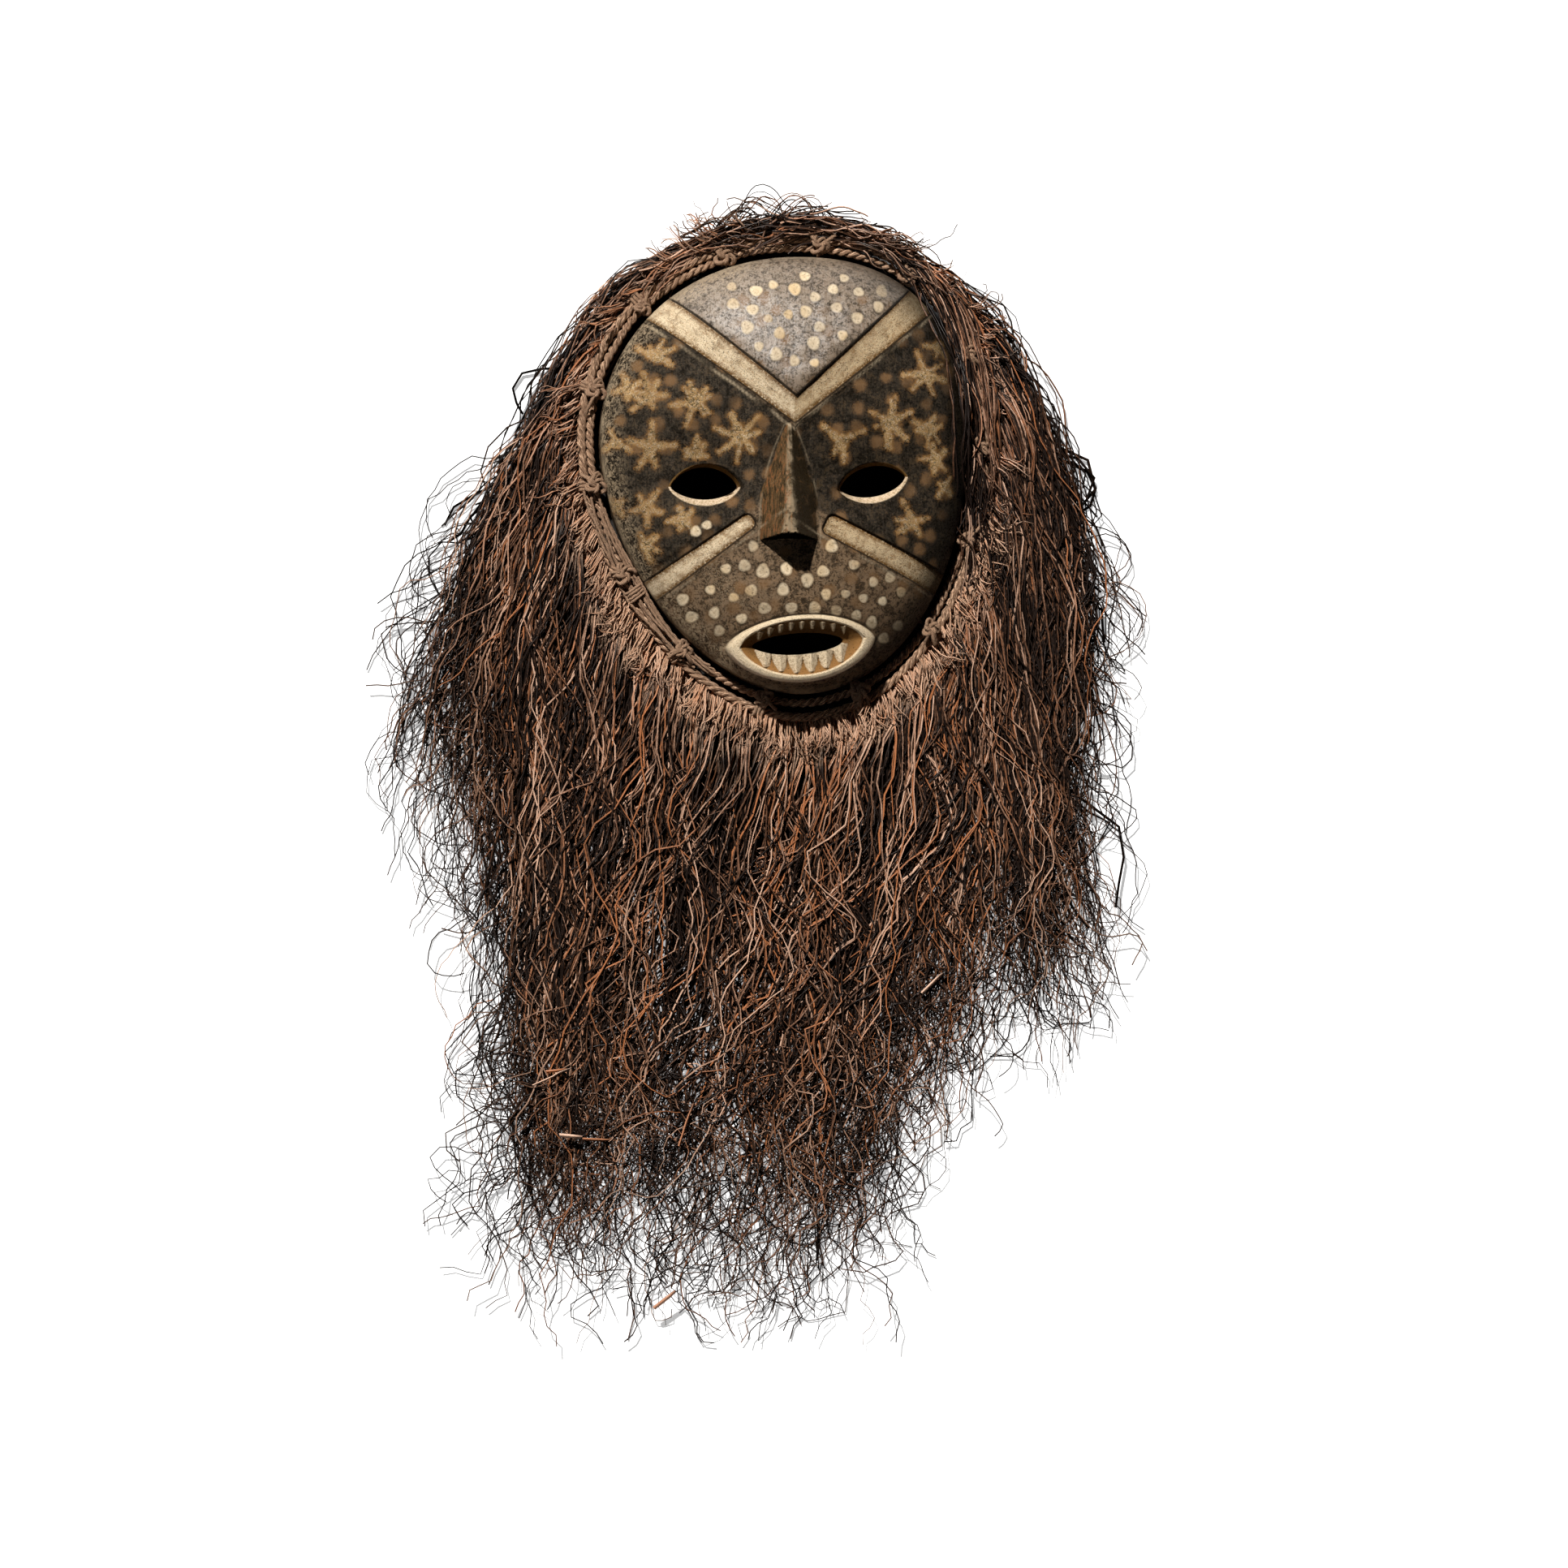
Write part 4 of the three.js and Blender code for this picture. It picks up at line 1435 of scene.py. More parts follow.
    def triangles(self, points: Points, edges: list[tuple[int, int]],
                  loops: list[Points]) -> tuple[Points, Points, list[Points]]:
        """Joins points into triangles that leave the holes open.

        Args:
            points: the places, one row of x and y each.
            edges: pairs of points that must stay joined.
            loops: index rows that the caller wants to find again.

        Returns:
            The points, the triangles and the loops, all in the new numbering.
        """
        out = delaunay_2d_cdt([Vector(p) for p in points.tolist()], edges, [], 0, 1e-4, True)
        flat = np.array([tuple(v) for v in out[0]])
        faces = np.array(out[2])
        find = np.full(len(points), -1)
        for new, olds in enumerate(out[3]):
            find[list(olds)] = new
        a, b, c = (flat[faces[:, k]] for k in range(3))
        turn = (b - a)[:, 0] * (c - a)[:, 1] - (b - a)[:, 1] * (c - a)[:, 0]
        faces[turn < 0] = faces[turn < 0][:, ::-1]
        keep = ~self.in_holes(*((a + b + c) / 3).T) & (np.abs(turn) > 1e-7)
        return flat, faces[keep], [find[loop] for loop in loops]

    def build(self, material: bpy.types.Material) -> bpy.types.Object:
        """Makes the whole closed shell and paints its fields on it.

        Args:
            material: the painted wood.

        Returns:
            The face as one piece.
        """
        flat, faces, loops = self.triangles(*self.layout())
        fields = self.survey(*flat.T)
        top = np.c_[flat, fields.pop("z")]
        top[loops[0], 2] = PLAN.rim_height
        inner_ring, inside, back, inner_loops = self.hollow()
        under = np.c_[inside, self.roof(*inside.T) + 0.2 * waves(*inside.T, 9, 31)]

        rim, count = top[loops[0]], len(loops[0])
        lower = [np.c_[rim[:, :2], np.full(count, z)] for z in (15.0, 8.0, 0.0)]
        verts = np.vstack([top, under, *lower, np.c_[inner_ring, np.zeros(count)]])
        base = len(top) + len(under)
        rings = [loops[0], *(base + k * count + np.arange(count) for k in range(4)),
                 len(top) + inner_loops[0]]
        quads = [self.band(a, b) for a, b in zip(rings, rings[1:])]
        quads += [self.band(a, len(top) + b) for a, b in zip(loops[1:], inner_loops[1:])]

        mesh = bpy.data.meshes.new("carved_face")
        mesh.from_pydata(PLAN.on_part(verts).tolist(), [], [
            face for part in (faces, back[:, ::-1] + len(top), *quads) for face in part.tolist()])
        plain = {"bars": FAR, "dots": FAR, "ghosts": FAR, "stars": FAR, "lids": 9,
                 "mouth_grow": 2, "bowl": 1, "nose": -5, "nose_rise": -1}
        for name, values in fields.items():
            carry(mesh, name, np.r_[values, np.full(len(verts) - len(top), plain.get(name, 0))])
        hidden = np.zeros(len(verts))
        hidden[len(top):base] = hidden[-count:] = 1
        carry(mesh, "inside", hidden)
        self.turn_outwards(mesh)
        mesh.materials.append(material)
        mesh.polygons.foreach_set("use_smooth", np.ones(len(mesh.polygons), bool))
        mesh.set_sharp_from_angle(angle=math.radians(38))
        return new_piece("carved_face", mesh)

    def hollow(self) -> tuple[Points, Points, Points, list[Points]]:
        """Lays out the inside of the shell.

        Returns:
            The hollow's outline, its points, its triangles, and its loops as index rows.
        """
        ring = PLAN.rim(self.rim_angles(), -PLAN.wall)
        lines = [ring, *self.hole_loops(1.05)]
        starts = np.cumsum([0] + [len(line) for line in lines])
        loops = [start + np.arange(len(line)) for start, line in zip(starts, lines)]
        cells = self.hexes(3.2)
        wide = np.any([shape.scaled(1.2).holds(*cells.T) for shape in (*self.eyes, self.slot)],
                      axis=0)
        cells = cells[(PLAN.share(*cells.T) < 0.9) & ~wide]
        edges = [edge for loop in loops for edge in self.joined(loop, True)]
        return ring, *self.triangles(np.vstack([*lines, cells]), edges, loops)

    def band(self, upper: Points, lower: Points) -> Points:
        """Joins two loops of the same length by quads."""
        return np.c_[upper, lower, np.roll(lower, -1), np.roll(upper, -1)]

    def turn_outwards(self, mesh: bpy.types.Mesh) -> None:
        """Makes every face of a closed mesh point outwards.

        Args:
            mesh: the mesh.
        """
        shell = bmesh.new()
        shell.from_mesh(mesh)
        bmesh.ops.recalc_face_normals(shell, faces=shell.faces)
        shell.to_mesh(mesh)
        shell.free()


@dataclass(frozen=True)
class PaintedWood:
    """Dark polished wood with cream and ochre marks, rubbed pale along its edges."""

    ground: Colour = paint(114, 92, 69)
    ground_dark: Colour = paint(48, 37, 25)
    sector: Colour = paint(48, 36, 19)
    sector_dark: Colour = paint(12, 9, 4)
    brown: Colour = paint(122, 92, 62)
    dust: Colour = paint(166, 146, 118)
    patina_and_sheen: Colour = paint(152, 139, 124)
    cream: Colour = paint(220, 200, 168)
    bar_tan: Colour = paint(168, 140, 98)
    cream_dirty: Colour = paint(182, 156, 120)
    ochre: Colour = paint(198, 164, 114)
    ochre_dark: Colour = paint(142, 102, 58)
    stain: Colour = paint(104, 74, 40)
    pits_and_crease_shade: Colour = paint(34, 26, 17)
    lid_brown: Colour = paint(104, 76, 40)
    lid_cream: Colour = paint(226, 202, 172)
    nose_brown: Colour = paint(94, 72, 46)
    nose_red: Colour = paint(126, 76, 46)
    nose_dark: Colour = paint(44, 35, 22)
    nose_underside_shade: Colour = paint(7, 6, 4)
    raw: Colour = paint(96, 72, 50)

    def material(self) -> bpy.types.Material:
        """Builds the painted wood.

        Returns:
            The material.
        """
        s = Shader("painted_wood")
        place = s.place()
        mark = SimpleNamespace(**{name: s.attribute(name) for name in (
            "bars", "bar_along", "bar_across", "dots", "dot_fade", "ghosts", "stars",
            "star_fade", "forehead", "lids", "upper_lid", "mouth_grow", "bowl", "teeth", "nose",
            "nose_rise", "nose_side", "nose_below", "sector", "worn", "rim_gap", "leftward",
            "grime", "lip_side", "inside")})
        noise = SimpleNamespace(
            broad=s.noise(place, 0.04, 3),
            medium=s.noise(place, 0.17, 4, 0.62, 0.8),
            patch=s.noise(place, 0.42, 4, 0.7, 1.2),
            small=s.noise(place, 0.75, 4, 0.7),
            tiny=s.noise(place, 1.7, 3, 0.7),
            grain=s.noise(s.vector("MULTIPLY", place, (1.1, 0.1, 0.5)), 1.0, 4, 0.65, 0.5),
            streak=s.noise(s.combine(s.product(mark.bar_along, 0.09),
                                     s.product(mark.bar_across, 0.8), 0.0), 1.0, 5, 0.72, 0.4))
        wobble = s.total(s.ramp(noise.small, 2.4, -1.2), s.ramp(noise.tiny, 1.2, -0.6))

        def edge(gap: Socket, soft: float, grow: float = 0.0, rough: float = 1.0) -> Socket:
            """A mark's mask from the distance to it, with an uneven edge."""
            return s.step(s.total(gap, s.product(wobble, rough)), grow - soft, grow + soft,
                          1.0, 0.0)

        star = s.product(
            edge(mark.stars, 0.5, 0.2, 1.7), s.step(noise.patch, 0.36, 0.5, 0.3, 1.0),
            s.step(noise.tiny, 0.4, 0.52, 0.25, 1.0), mark.star_fade,
            s.step(noise.medium, 0.36, 0.46, 0.4, 1.0))
        star_tone = s.coats(
            self.ochre,
            (self.ochre_dark, s.step(s.total(mark.stars, s.product(wobble, 1.5)), -1.3, 0.2)),
            (self.cream, s.step(noise.small, 0.5, 0.6), 0.75),
            (self.ochre_dark, s.step(noise.patch, 0.5, 0.62, 0.0, 0.75),
             s.step(noise.tiny, 0.4, 0.55)))
        dot = s.product(edge(mark.dots, 0.75, 0.0, 0.6), s.step(noise.small, 0.3, 0.5, 0.4, 1.0),
                        mark.dot_fade)
        dot_tone = s.coats(
            self.cream,
            (self.ochre, s.step(noise.broad, 0.42, 0.7, 0.0, 0.7)),
            (self.cream_dirty, s.step(mark.dots, -2.5, -0.9, 0.7, 0.0),
             s.step(noise.tiny, 0.36, 0.56, 0.4, 1.0), 0.7))
        bar = edge(mark.bars, 0.35, 0.1, 0.7)
        bar_tone = s.coats(
            self.cream_dirty,
            (self.cream, s.step(noise.streak, 0.3, 0.6, 0.3, 1.0)),
            (self.bar_tan, s.step(mark.bar_along, 120.0, 190.0, 0.5, 0.0)),
            (self.stain, s.step(noise.medium, 0.48, 0.64), 0.45),
            (self.ochre_dark, s.step(noise.patch, 0.51, 0.62), 0.5),
            (self.stain, s.step(mark.bars, -3.6, -0.1), s.step(noise.small, 0.32, 0.54)),
            (self.pits_and_crease_shade, s.step(noise.tiny, 0.55, 0.63), s.step(noise.broad, 0.35, 0.6, 0.5, 1.0)))
        lid_tone = s.coats(
            self.lid_brown,
            (s.coats(self.cream_dirty, (self.lid_cream, s.step(noise.small, 0.36, 0.6))),
             s.rest(mark.upper_lid), s.step(noise.tiny, 0.36, 0.5, 0.5, 1.0)))
        worn = s.product(mark.worn, s.step(noise.small, 0.28, 0.58, 0.45, 1.0))
        colour = s.coats(
            self.wood(s, mark, noise),
            (self.brown, edge(mark.ghosts, 1.5, 0.4, 2.4),
             s.step(noise.broad, 0.34, 0.6, 0.25, 0.8)),
            (self.pits_and_crease_shade, s.step(noise.tiny, 0.56, 0.7), 0.35),
            (self.ochre_dark, edge(mark.stars, 1.5, 0.9, 2.0), s.step(noise.patch, 0.4, 0.58),
             0.6),
            (star_tone, star),
            (self.ground_dark, s.step(mark.dots, 0.1, 0.7), s.step(mark.dots, 0.7, 1.6, 1, 0),
             0.32),
            (dot_tone, dot),
            (bar_tone, bar),
            # Painted shade: the bars' sloping walls are painted near-black.
            (self.pits_and_crease_shade, s.step(mark.bars, -0.1, 0.35), s.step(mark.bars, 0.8, 1.5, 1, 0), 0.92),
            # Painted shade: the right part of the rim is darkened.
            (self.sector_dark, mark.grime, 0.75),
            *self.mouth(s, mark, noise),
            self.nose(s, mark, noise),
            (lid_tone, s.step(mark.lids, 0.85, 1.15, 1.0, 0.0)),
            (s.coats(self.dust, (self.cream, 0.35)), worn),
            (s.coats(self.nose_dark, (self.raw, s.step(noise.grain, 0.35, 0.65))),
             mark.inside))

        light = s.math("MAXIMUM", bar, s.math("MAXIMUM", dot, star))
        gloss = s.total(
            s.step(s.ramp(noise.small, 0.5, s.product(noise.patch, 0.5)), 0.4, 0.6, 0.24, 0.42),
            s.product(mark.forehead, 0.05), s.product(s.math("MAXIMUM", light, worn), 0.25))
        shine = s.product(
            s.ramp(mark.forehead, 0.56, 0.04), s.ramp(light, -0.6, 1.0),
            s.step(s.ramp(noise.small, 0.6, s.product(noise.patch, 0.4)), 0.42, 0.56, 0.3, 1.5),
            s.rest(mark.nose_below))
        relief = s.total(s.product(noise.small, 0.8), s.product(noise.tiny, 0.6),
                         s.product(noise.grain, 0.5))
        relief = s.total(s.product(relief, s.ramp(mark.forehead, -0.6, 1.0)),
                         s.product(noise.streak, bar, 0.6), s.product(light, 0.3))
        s.set(Base_Color=colour, Roughness=gloss, Specular_IOR_Level=shine)
        s.bump(relief, 1.0, 0.55)
        return s.material

    def wood(self, s: Shader, mark: SimpleNamespace, noise: SimpleNamespace) -> Socket:
        """Mottles the plain wood, darkest between the bars and grey on the forehead, the grey
        partly patina and partly a painted sheen, stronger to the left.

        Args:
            s: the material's tree.
            mark: the paint fields.
            noise: the noises at each size.

        Returns:
            The wood's colour.
        """
        spread = s.total(s.product(noise.medium, 0.4), s.product(noise.patch, 0.45),
                         s.product(noise.small, 0.15))
        clear = s.ramp(mark.sector, -0.82, 1.0)
        stroke = s.math("ABSOLUTE", s.math("SUBTRACT", noise.patch, 0.5))
        return s.coats(
            self.ground_dark,
            (self.ground, s.step(spread, 0.44, 0.56)),
            (s.coats(self.sector_dark, (self.sector, s.step(spread, 0.5, 0.6))),
             mark.sector, s.step(noise.medium, 0.36, 0.6, 1.0, 0.97)),
            (self.brown, s.step(stroke, 0.0, 0.03, 1.0, 0.0), s.step(noise.small, 0.42, 0.6),
             clear, 0.75),
            (self.brown, s.step(noise.small, 0.56, 0.68), clear, 0.7),
            # Grey on the forehead: partly patina, partly a painted sheen, stronger towards the
            # left.
            (self.patina_and_sheen, s.step(mark.forehead, 0.0, 1.0, 0.1, 0.8),
             s.step(noise.grain, 0.36, 0.58, 0.35, 1.0),
             s.step(mark.leftward, 0.0, 0.5, 0.7, 1.0), s.step(spread, 0.4, 0.54, 0.2, 1.0)),
            (self.dust, s.step(mark.rim_gap, 0.5, 14.0, 0.85, 0.0),
             s.step(noise.patch, 0.46, 0.58), s.step(mark.leftward, 0.2, 0.8)),
            (self.dust, s.step(noise.tiny, 0.53, 0.66), s.step(noise.broad, 0.4, 0.62, 0.1, 0.7),
             clear, s.step(mark.leftward, 0.0, 1.0, 0.5, 1.4)))

    def mouth(self, s: Shader, mark: SimpleNamespace, noise: SimpleNamespace) -> list[tuple]:
        """The coats of the groove over the lip, painted dark as shade, and of the lips, the lower
        one with a painted highlight, the bowl and the teeth.

        Args:
            s: the material's tree.
            mark: the paint fields.
            noise: the noises at each size.

        Returns:
            The coats, each a colour and its shares.
        """
        deep = s.step(mark.mouth_grow, 0.83, 0.86, 1.0, 0.0)
        tone = s.coats(
            self.cream_dirty,
            (self.cream, s.step(noise.small, 0.28, 0.5)),
            # Painted highlight: the outer band of the lower lip is lighter than the upper lip.
            (self.lid_cream, s.step(mark.lip_side, -6.0, -1.0, 1.0, 0.0),
             s.step(mark.mouth_grow, 0.95, 1.0), 0.9),
            (self.ochre_dark, s.step(noise.small, 0.52, 0.66), 0.5),
            (s.coats(self.stain, (self.ochre_dark, s.step(mark.bowl, 0.2, 0.9))), deep),
            (self.cream, mark.teeth, s.step(noise.small, 0.3, 0.6, 0.35, 0.95)),
            (self.stain, s.step(mark.lip_side, 1, 5), deep, s.ramp(mark.teeth, -0.6, 0.8)),
            (self.pits_and_crease_shade, s.step(noise.tiny, 0.58, 0.67)))
        # Painted shade: the groove over the upper lip is painted dark.
        return [(self.pits_and_crease_shade, s.step(mark.mouth_grow, 1.07, 1.15, 0.85, 0.0),
                 s.step(mark.lip_side, 2.0, 8.0)),
                (tone, s.step(mark.mouth_grow, 1.02, 1.05, 1.0, 0.0), s.rest(mark.inside))]

    def nose(self, s: Shader, mark: SimpleNamespace, noise: SimpleNamespace) -> tuple:
        """The coat of the nose: darker wood, with a painted highlight along the ridge, painted
        shade on its right side and painted shade under its tip.

        Args:
            s: the material's tree.
            mark: the paint fields.
            noise: the noises at each size.

        Returns:
            The colour and its share.
        """
        tone = s.coats(
            self.nose_dark,
            (self.nose_brown, s.step(noise.grain, 0.36, 0.6)),
            (self.nose_red, s.step(noise.grain, 0.52, 0.66), 0.8),
            # Painted shade: the right side of the nose is darker, as the side turned away from
            # the light.
            (self.nose_dark, s.step(mark.nose_side, 0.3, 0.7)),
            (self.brown, s.step(noise.medium, 0.52, 0.7), 0.35),
            # Painted highlight: a pale line along the ridge.
            (self.dust, s.step(mark.nose_rise, 0.82, 0.97),
             s.step(noise.medium, 0.4, 0.6, 0.1, 1), 0.5),
            # Painted shade: the underside of the nose is painted near-black.
            (self.nose_underside_shade, mark.nose_below))
        return tone, s.step(mark.nose, 0.1, 0.9)


@dataclass
class Cords:
    """The two twisted cords that lie round the rim."""

    level: float = 12.0
    rim_out: float = 5.45
    fringe_out: float = 10.5
    wander: float = 0.35
    even_size: float = 60.0

    def ring(self, out: float, seed: int, sag: float) -> Lines:
        """The middle line of one cord, a little uneven.

        Args:
            out: the distance out from the wood.
            seed: what its unevenness is drawn from.
            sag: how much further out it hangs under the chin.

        Returns:
            One closed line.
        """
        angles = np.arange(360) / 360 * TURN
        round_x, round_y = np.cos(angles) * self.even_size, np.sin(angles) * self.even_size
        stray = self.wander * waves(round_x, round_y, 22, seed)
        lift = self.wander * waves(round_x, round_y, 26, seed + 1)
        spot = PLAN.rim(angles, out + stray * 0.6 + sag * PLAN.under_chin(angles))
        lines = Lines()
        lines.put(np.c_[spot, self.level + lift], closed=True)
        return lines

    def tree(self, material: bpy.types.Material) -> Growth:
        """Builds the tree that lays plies in a helix along a line.

        Args:
            material: the cord's finish.

        Returns:
            The tree.
        """
        g = Growth("twisted_cord", {"Plies": 2, "Ply Radius": 1.2 * MM, "Twist Radius": 1.0 * MM,
                                    "Pitch": 11.0 * MM, "Step": 1.1 * MM, "Fuzz": 0.12 * MM})
        plies = g.copied(g.resampled(g.curves(), "LENGTH", g.inputs["Step"]), g.inputs["Plies"])
        number = g.per_line(plies.outputs["Duplicate Index"], "FLOAT")
        length = g.along()
        total = g.add("GeometryNodeSplineLength", out="Length")
        turns = g.math("ROUND", g.math("DIVIDE", total, g.inputs["Pitch"]))
        pace = g.math("DIVIDE", g.product(turns, TURN), total)
        phase = g.math("DIVIDE", g.product(number, TURN), g.inputs["Plies"])
        angle = g.total(g.product(length, pace), phase)
        out = g.scaled(g.across(g.add("GeometryNodeInputTangent")), g.math("COSINE", angle))
        turn = g.vector("ADD", out, g.combine(0.0, 0.0, g.math("SINE", angle)))
        swell = g.ramp(g.noise(g.position(), 900.0, 2), 0.5, 0.75)
        moved = g.placed(plies.outputs["Geometry"], "Offset",
                         g.scaled(turn, g.product(g.inputs["Twist Radius"], swell)))
        moved = g.store(moved, along=g.product(length, 1 / MM), ply=number)
        tube = g.tube(moved, 8, g.inputs["Ply Radius"])
        fuzz = g.math("SUBTRACT", g.noise(g.position(), 1700.0, 3, 0.7), 0.5)
        g.close(g.placed(tube, "Offset", g.scaled(g.add("GeometryNodeInputNormal"), g.product(
            fuzz, g.inputs["Fuzz"], 5.0))), material)
        return g

    def build(self, material: bpy.types.Material) -> list[bpy.types.Object]:
        """Makes both cords.

        Args:
            material: the cord's finish.

        Returns:
            The rim cord and the fringe's heading cord.
        """
        tree = self.tree(material)
        rim = tree.grow("twisted_rim_cord", self.ring(self.rim_out, 61, -0.8), {
            "Ply Radius": 1.35 * MM, "Twist Radius": 1.2 * MM, "Pitch": 10.0 * MM})
        heading = tree.grow("twisted_heading_cord", self.ring(self.fringe_out, 71, 2.4), {
            "Plies": 3, "Ply Radius": 1.3 * MM, "Twist Radius": 1.4 * MM, "Pitch": 17.0 * MM})
        return [rim, heading]


@dataclass
class Lashings:
    """The knotted ties that pass through the rim and hold both cords."""

    count: int = 14
    first: float = 84.0
    level: float = 12.0
    inner: float = 6.72
    outer: float = 10.5
    reach: float = 3.9
    stem_level: float = 13.9
    stem_inner: float = -12.0
    strand: float = 1.05
    wraps: int = 3
    lumps: tuple[tuple[float, ...], ...] = ((0, 0, 1), (0.6, 0.8, 0.7), (-0.5, -0.6, 0.85))
    strips_out: tuple[float, float, float] = (2.6, 11.2, 1.4)  # From, to, apart.
    strips_from: Pair = (193, 201)
    strips_to: Pair = (242, 254)
    strips_level: float = 16.0
    strips_radius: float = 0.8
    strips_seed: int = 77
    band_turns: int = 4
    band_angle: float = 222.5
    band_step: float = 0.8
    band_middle: float = 6.8
    band_half: float = 6.0
    band_level: float = 18.0
    band_drop: float = 5.5

    def frame_at(self, angle: float) -> tuple[Points, Points, Points]:
        """The rim's place at an angle, with its outward and sideways directions.

        Args:
            angle: the direction from the centre, in radians.

        Returns:
            The place, the outward direction and the sideways one.
        """
        foot = PLAN.rim(angle)[0]
        out = PLAN.outward(angle)[0]
        return foot, out, np.array([-out[1], out[0]])

    def place(self, angle: float, out: Points, height: Points, side: Points) -> Points:
        """Turns distances out, up and sideways into face points.

        Args:
            angle: the direction from the centre, in radians.
            out: the distance out from the rim.
            height: the height over the back.
            side: the distance sideways.

        Returns:
            The points.
        """
        foot, outward, sideways = self.frame_at(angle)
        flat = foot + np.outer(out, outward) + np.outer(side, sideways)
        return np.c_[flat, height]

    def wrap(self, angle: float, number: int) -> Points:
        """A strand that winds round both cords, one turn after another.

        Args:
            angle: the direction from the centre, in radians.
            number: the lashing's number.

        Returns:
            The strand's points.
        """
        rng = np.random.default_rng(300 + number)
        t = np.arange(0, self.wraps, 1 / 28)
        turn = t * TURN
        chin = 2.2 * PLAN.under_chin(angle)
        middle = (self.inner + self.outer + chin) / 2
        half = (self.outer - self.inner + chin) / 2
        shape = np.sign(np.cos(turn)) * np.abs(np.cos(turn)) ** 0.6
        swell = self.reach + 0.25 * np.sin(t * 5 + number)
        out = middle + shape * half + np.cos(turn) * swell
        height = self.level + np.sin(turn) * swell
        side = (t - self.wraps / 2) * rng.uniform(1.7, 2.2) + 0.3 * np.sin(turn)
        return self.place(angle, out, height, side)

    def knot(self, angle: float, out: float, height: float, size: float, lean: float) -> Points:
        """A closed trefoil that lies flat as a knot's lump.

        Args:
            angle: the direction from the centre, in radians.
            out: the distance out from the rim.
            height: the height over the back.
            size: the knot's reach.
            lean: how far it is turned.

        Returns:
            The knot's points.
        """
        t = np.arange(64) / 64 * TURN
        x = (np.sin(t) + 1.7 * np.sin(2 * t)) * size / 2.7
        y = (np.cos(t) - 1.7 * np.cos(2 * t)) * size / 2.7
        z = -np.sin(3 * t) * size * 0.32
        c, s = math.cos(lean), math.sin(lean)
        return self.place(angle, out + x * c - y * s, height + z, x * s + y * c)

    def tail(self, angle: float, out: float, height: float, seed: int) -> Points:
        """A short frayed end that leaves the knot.

        Args:
            angle: the direction from the centre, in radians.
            out: the distance out from the rim.
            height: the height over the back.
            seed: what it is drawn from.

        Returns:
            The end's points.
        """
        rng = np.random.default_rng(seed)
        t = np.linspace(0, 1, 9)
        way = rng.uniform(-1.3, 1.3)
        length = rng.uniform(7, 15)
        out_way = out + length * t * math.cos(way) * 0.6
        side = length * t * math.sin(way) + rng.uniform(-1, 1) * t**2 * 2
        rise = height + 1.6 * np.sin(t * 2.4) - 3.2 * t**2 + 0.8
        return self.place(angle, out_way, rise, side)

    def stem(self, angle: float) -> Points:
        """The strand through the wood, from the wraps to the stopper knot.

        Args:
            angle: the direction from the centre, in radians.

        Returns:
            The strand's points.
        """
        out = np.linspace(self.stem_inner, 4.6, 20)
        bend = np.sin(np.linspace(0, 3, 20)) * 0.1
        drop = 0.9 * smoothstep(out, 0.8, 4.6)
        return self.place(angle, out, self.stem_level + bend - drop, bend)

    def tree(self, material: bpy.types.Material) -> Growth:
        """Builds the tree that thickens lines into rough strands of bast.

        Args:
            material: the cord's finish.

        Returns:
            The tree.
        """
        g = Growth("tied_strand", {"Strand Radius": self.strand * MM, "Rough": 0.5 * MM})
        shake = g.vector("SUBTRACT", g.noise(g.position(), 420.0, 2, out=1), (0.5, 0.5, 0.5))
        curve = g.placed(g.resampled(g.curves(), "LENGTH", 0.9 * MM), "Offset",
                         g.scaled(shake, g.inputs["Rough"]))
        curve = g.store(curve, along=g.product(g.along(), 1 / MM),
                        ply=g.add("GeometryNodeInputIndex"))
        g.close(g.tube(curve, 6, g.inputs["Strand Radius"], Fill_Caps=True,
                       Scale=g.ramp(g.noise(g.position(), 520.0, 1), 0.9, 0.55)), material)
        return g

    def build(self, material: bpy.types.Material) -> list[bpy.types.Object]:
        """Makes each lashing as a piece of its own.

        Args:
            material: the cord's finish.

        Returns:
            The lashings, in the order of their nodes.
        """
        tree = self.tree(material)
        ties = []
        for i, angle in enumerate(PLAN.even_angles(self.count, math.radians(self.first))):
            rng = np.random.default_rng(500 + i)
            lines = Lines()
            lines.put(self.wrap(angle, i))
            turned = math.degrees(angle) % 360
            size = rng.uniform(4.4, 6.2) + 2.0 * math.exp(-(((turned - 186) / 22) ** 2))
            top = self.level + self.reach + 2.0
            out = rng.uniform(4.8, 7.4)
            lean = rng.uniform(0, 3)
            for number, (shift, rise, share) in enumerate(self.lumps):
                lines.put(self.knot(angle, out + shift, top + rise, size * share, lean + number),
                          closed=True)
            for k in range(3):
                lines.put(self.tail(angle, out, top, 900 + 7 * i + k))
            lines.put(self.stem(angle))
            lines.put(self.knot(angle, self.stem_inner, self.stem_level, 2.4, 1.0), closed=True)
            ties.append(tree.grow(f"knotted_lashing_{i + 1:02d}", lines, {}))
        return ties

    def strips(self, material: bpy.types.Material) -> bpy.types.Object:
        """Lays the loose strips of bast that run over the cords at the lower left.

        Args:
            material: the cord's finish.

        Returns:
            The strips as one piece.
        """
        rng = np.random.default_rng(self.strips_seed)
        lines = Lines()
        s = np.linspace(0, 1, 40)
        for out in np.arange(*self.strips_out):
            angles = np.radians(mix(rng.uniform(*self.strips_from),
                                    rng.uniform(*self.strips_to), s))
            sway = out + 1.5 * np.sin(s * rng.uniform(5, 12) + rng.uniform(0, TURN))
            rise = self.strips_level + 1.1 * np.sin(s * 11 + out) + rng.uniform(-0.8, 0.8)
            lines.put(np.c_[PLAN.rim(angles, sway), rise])

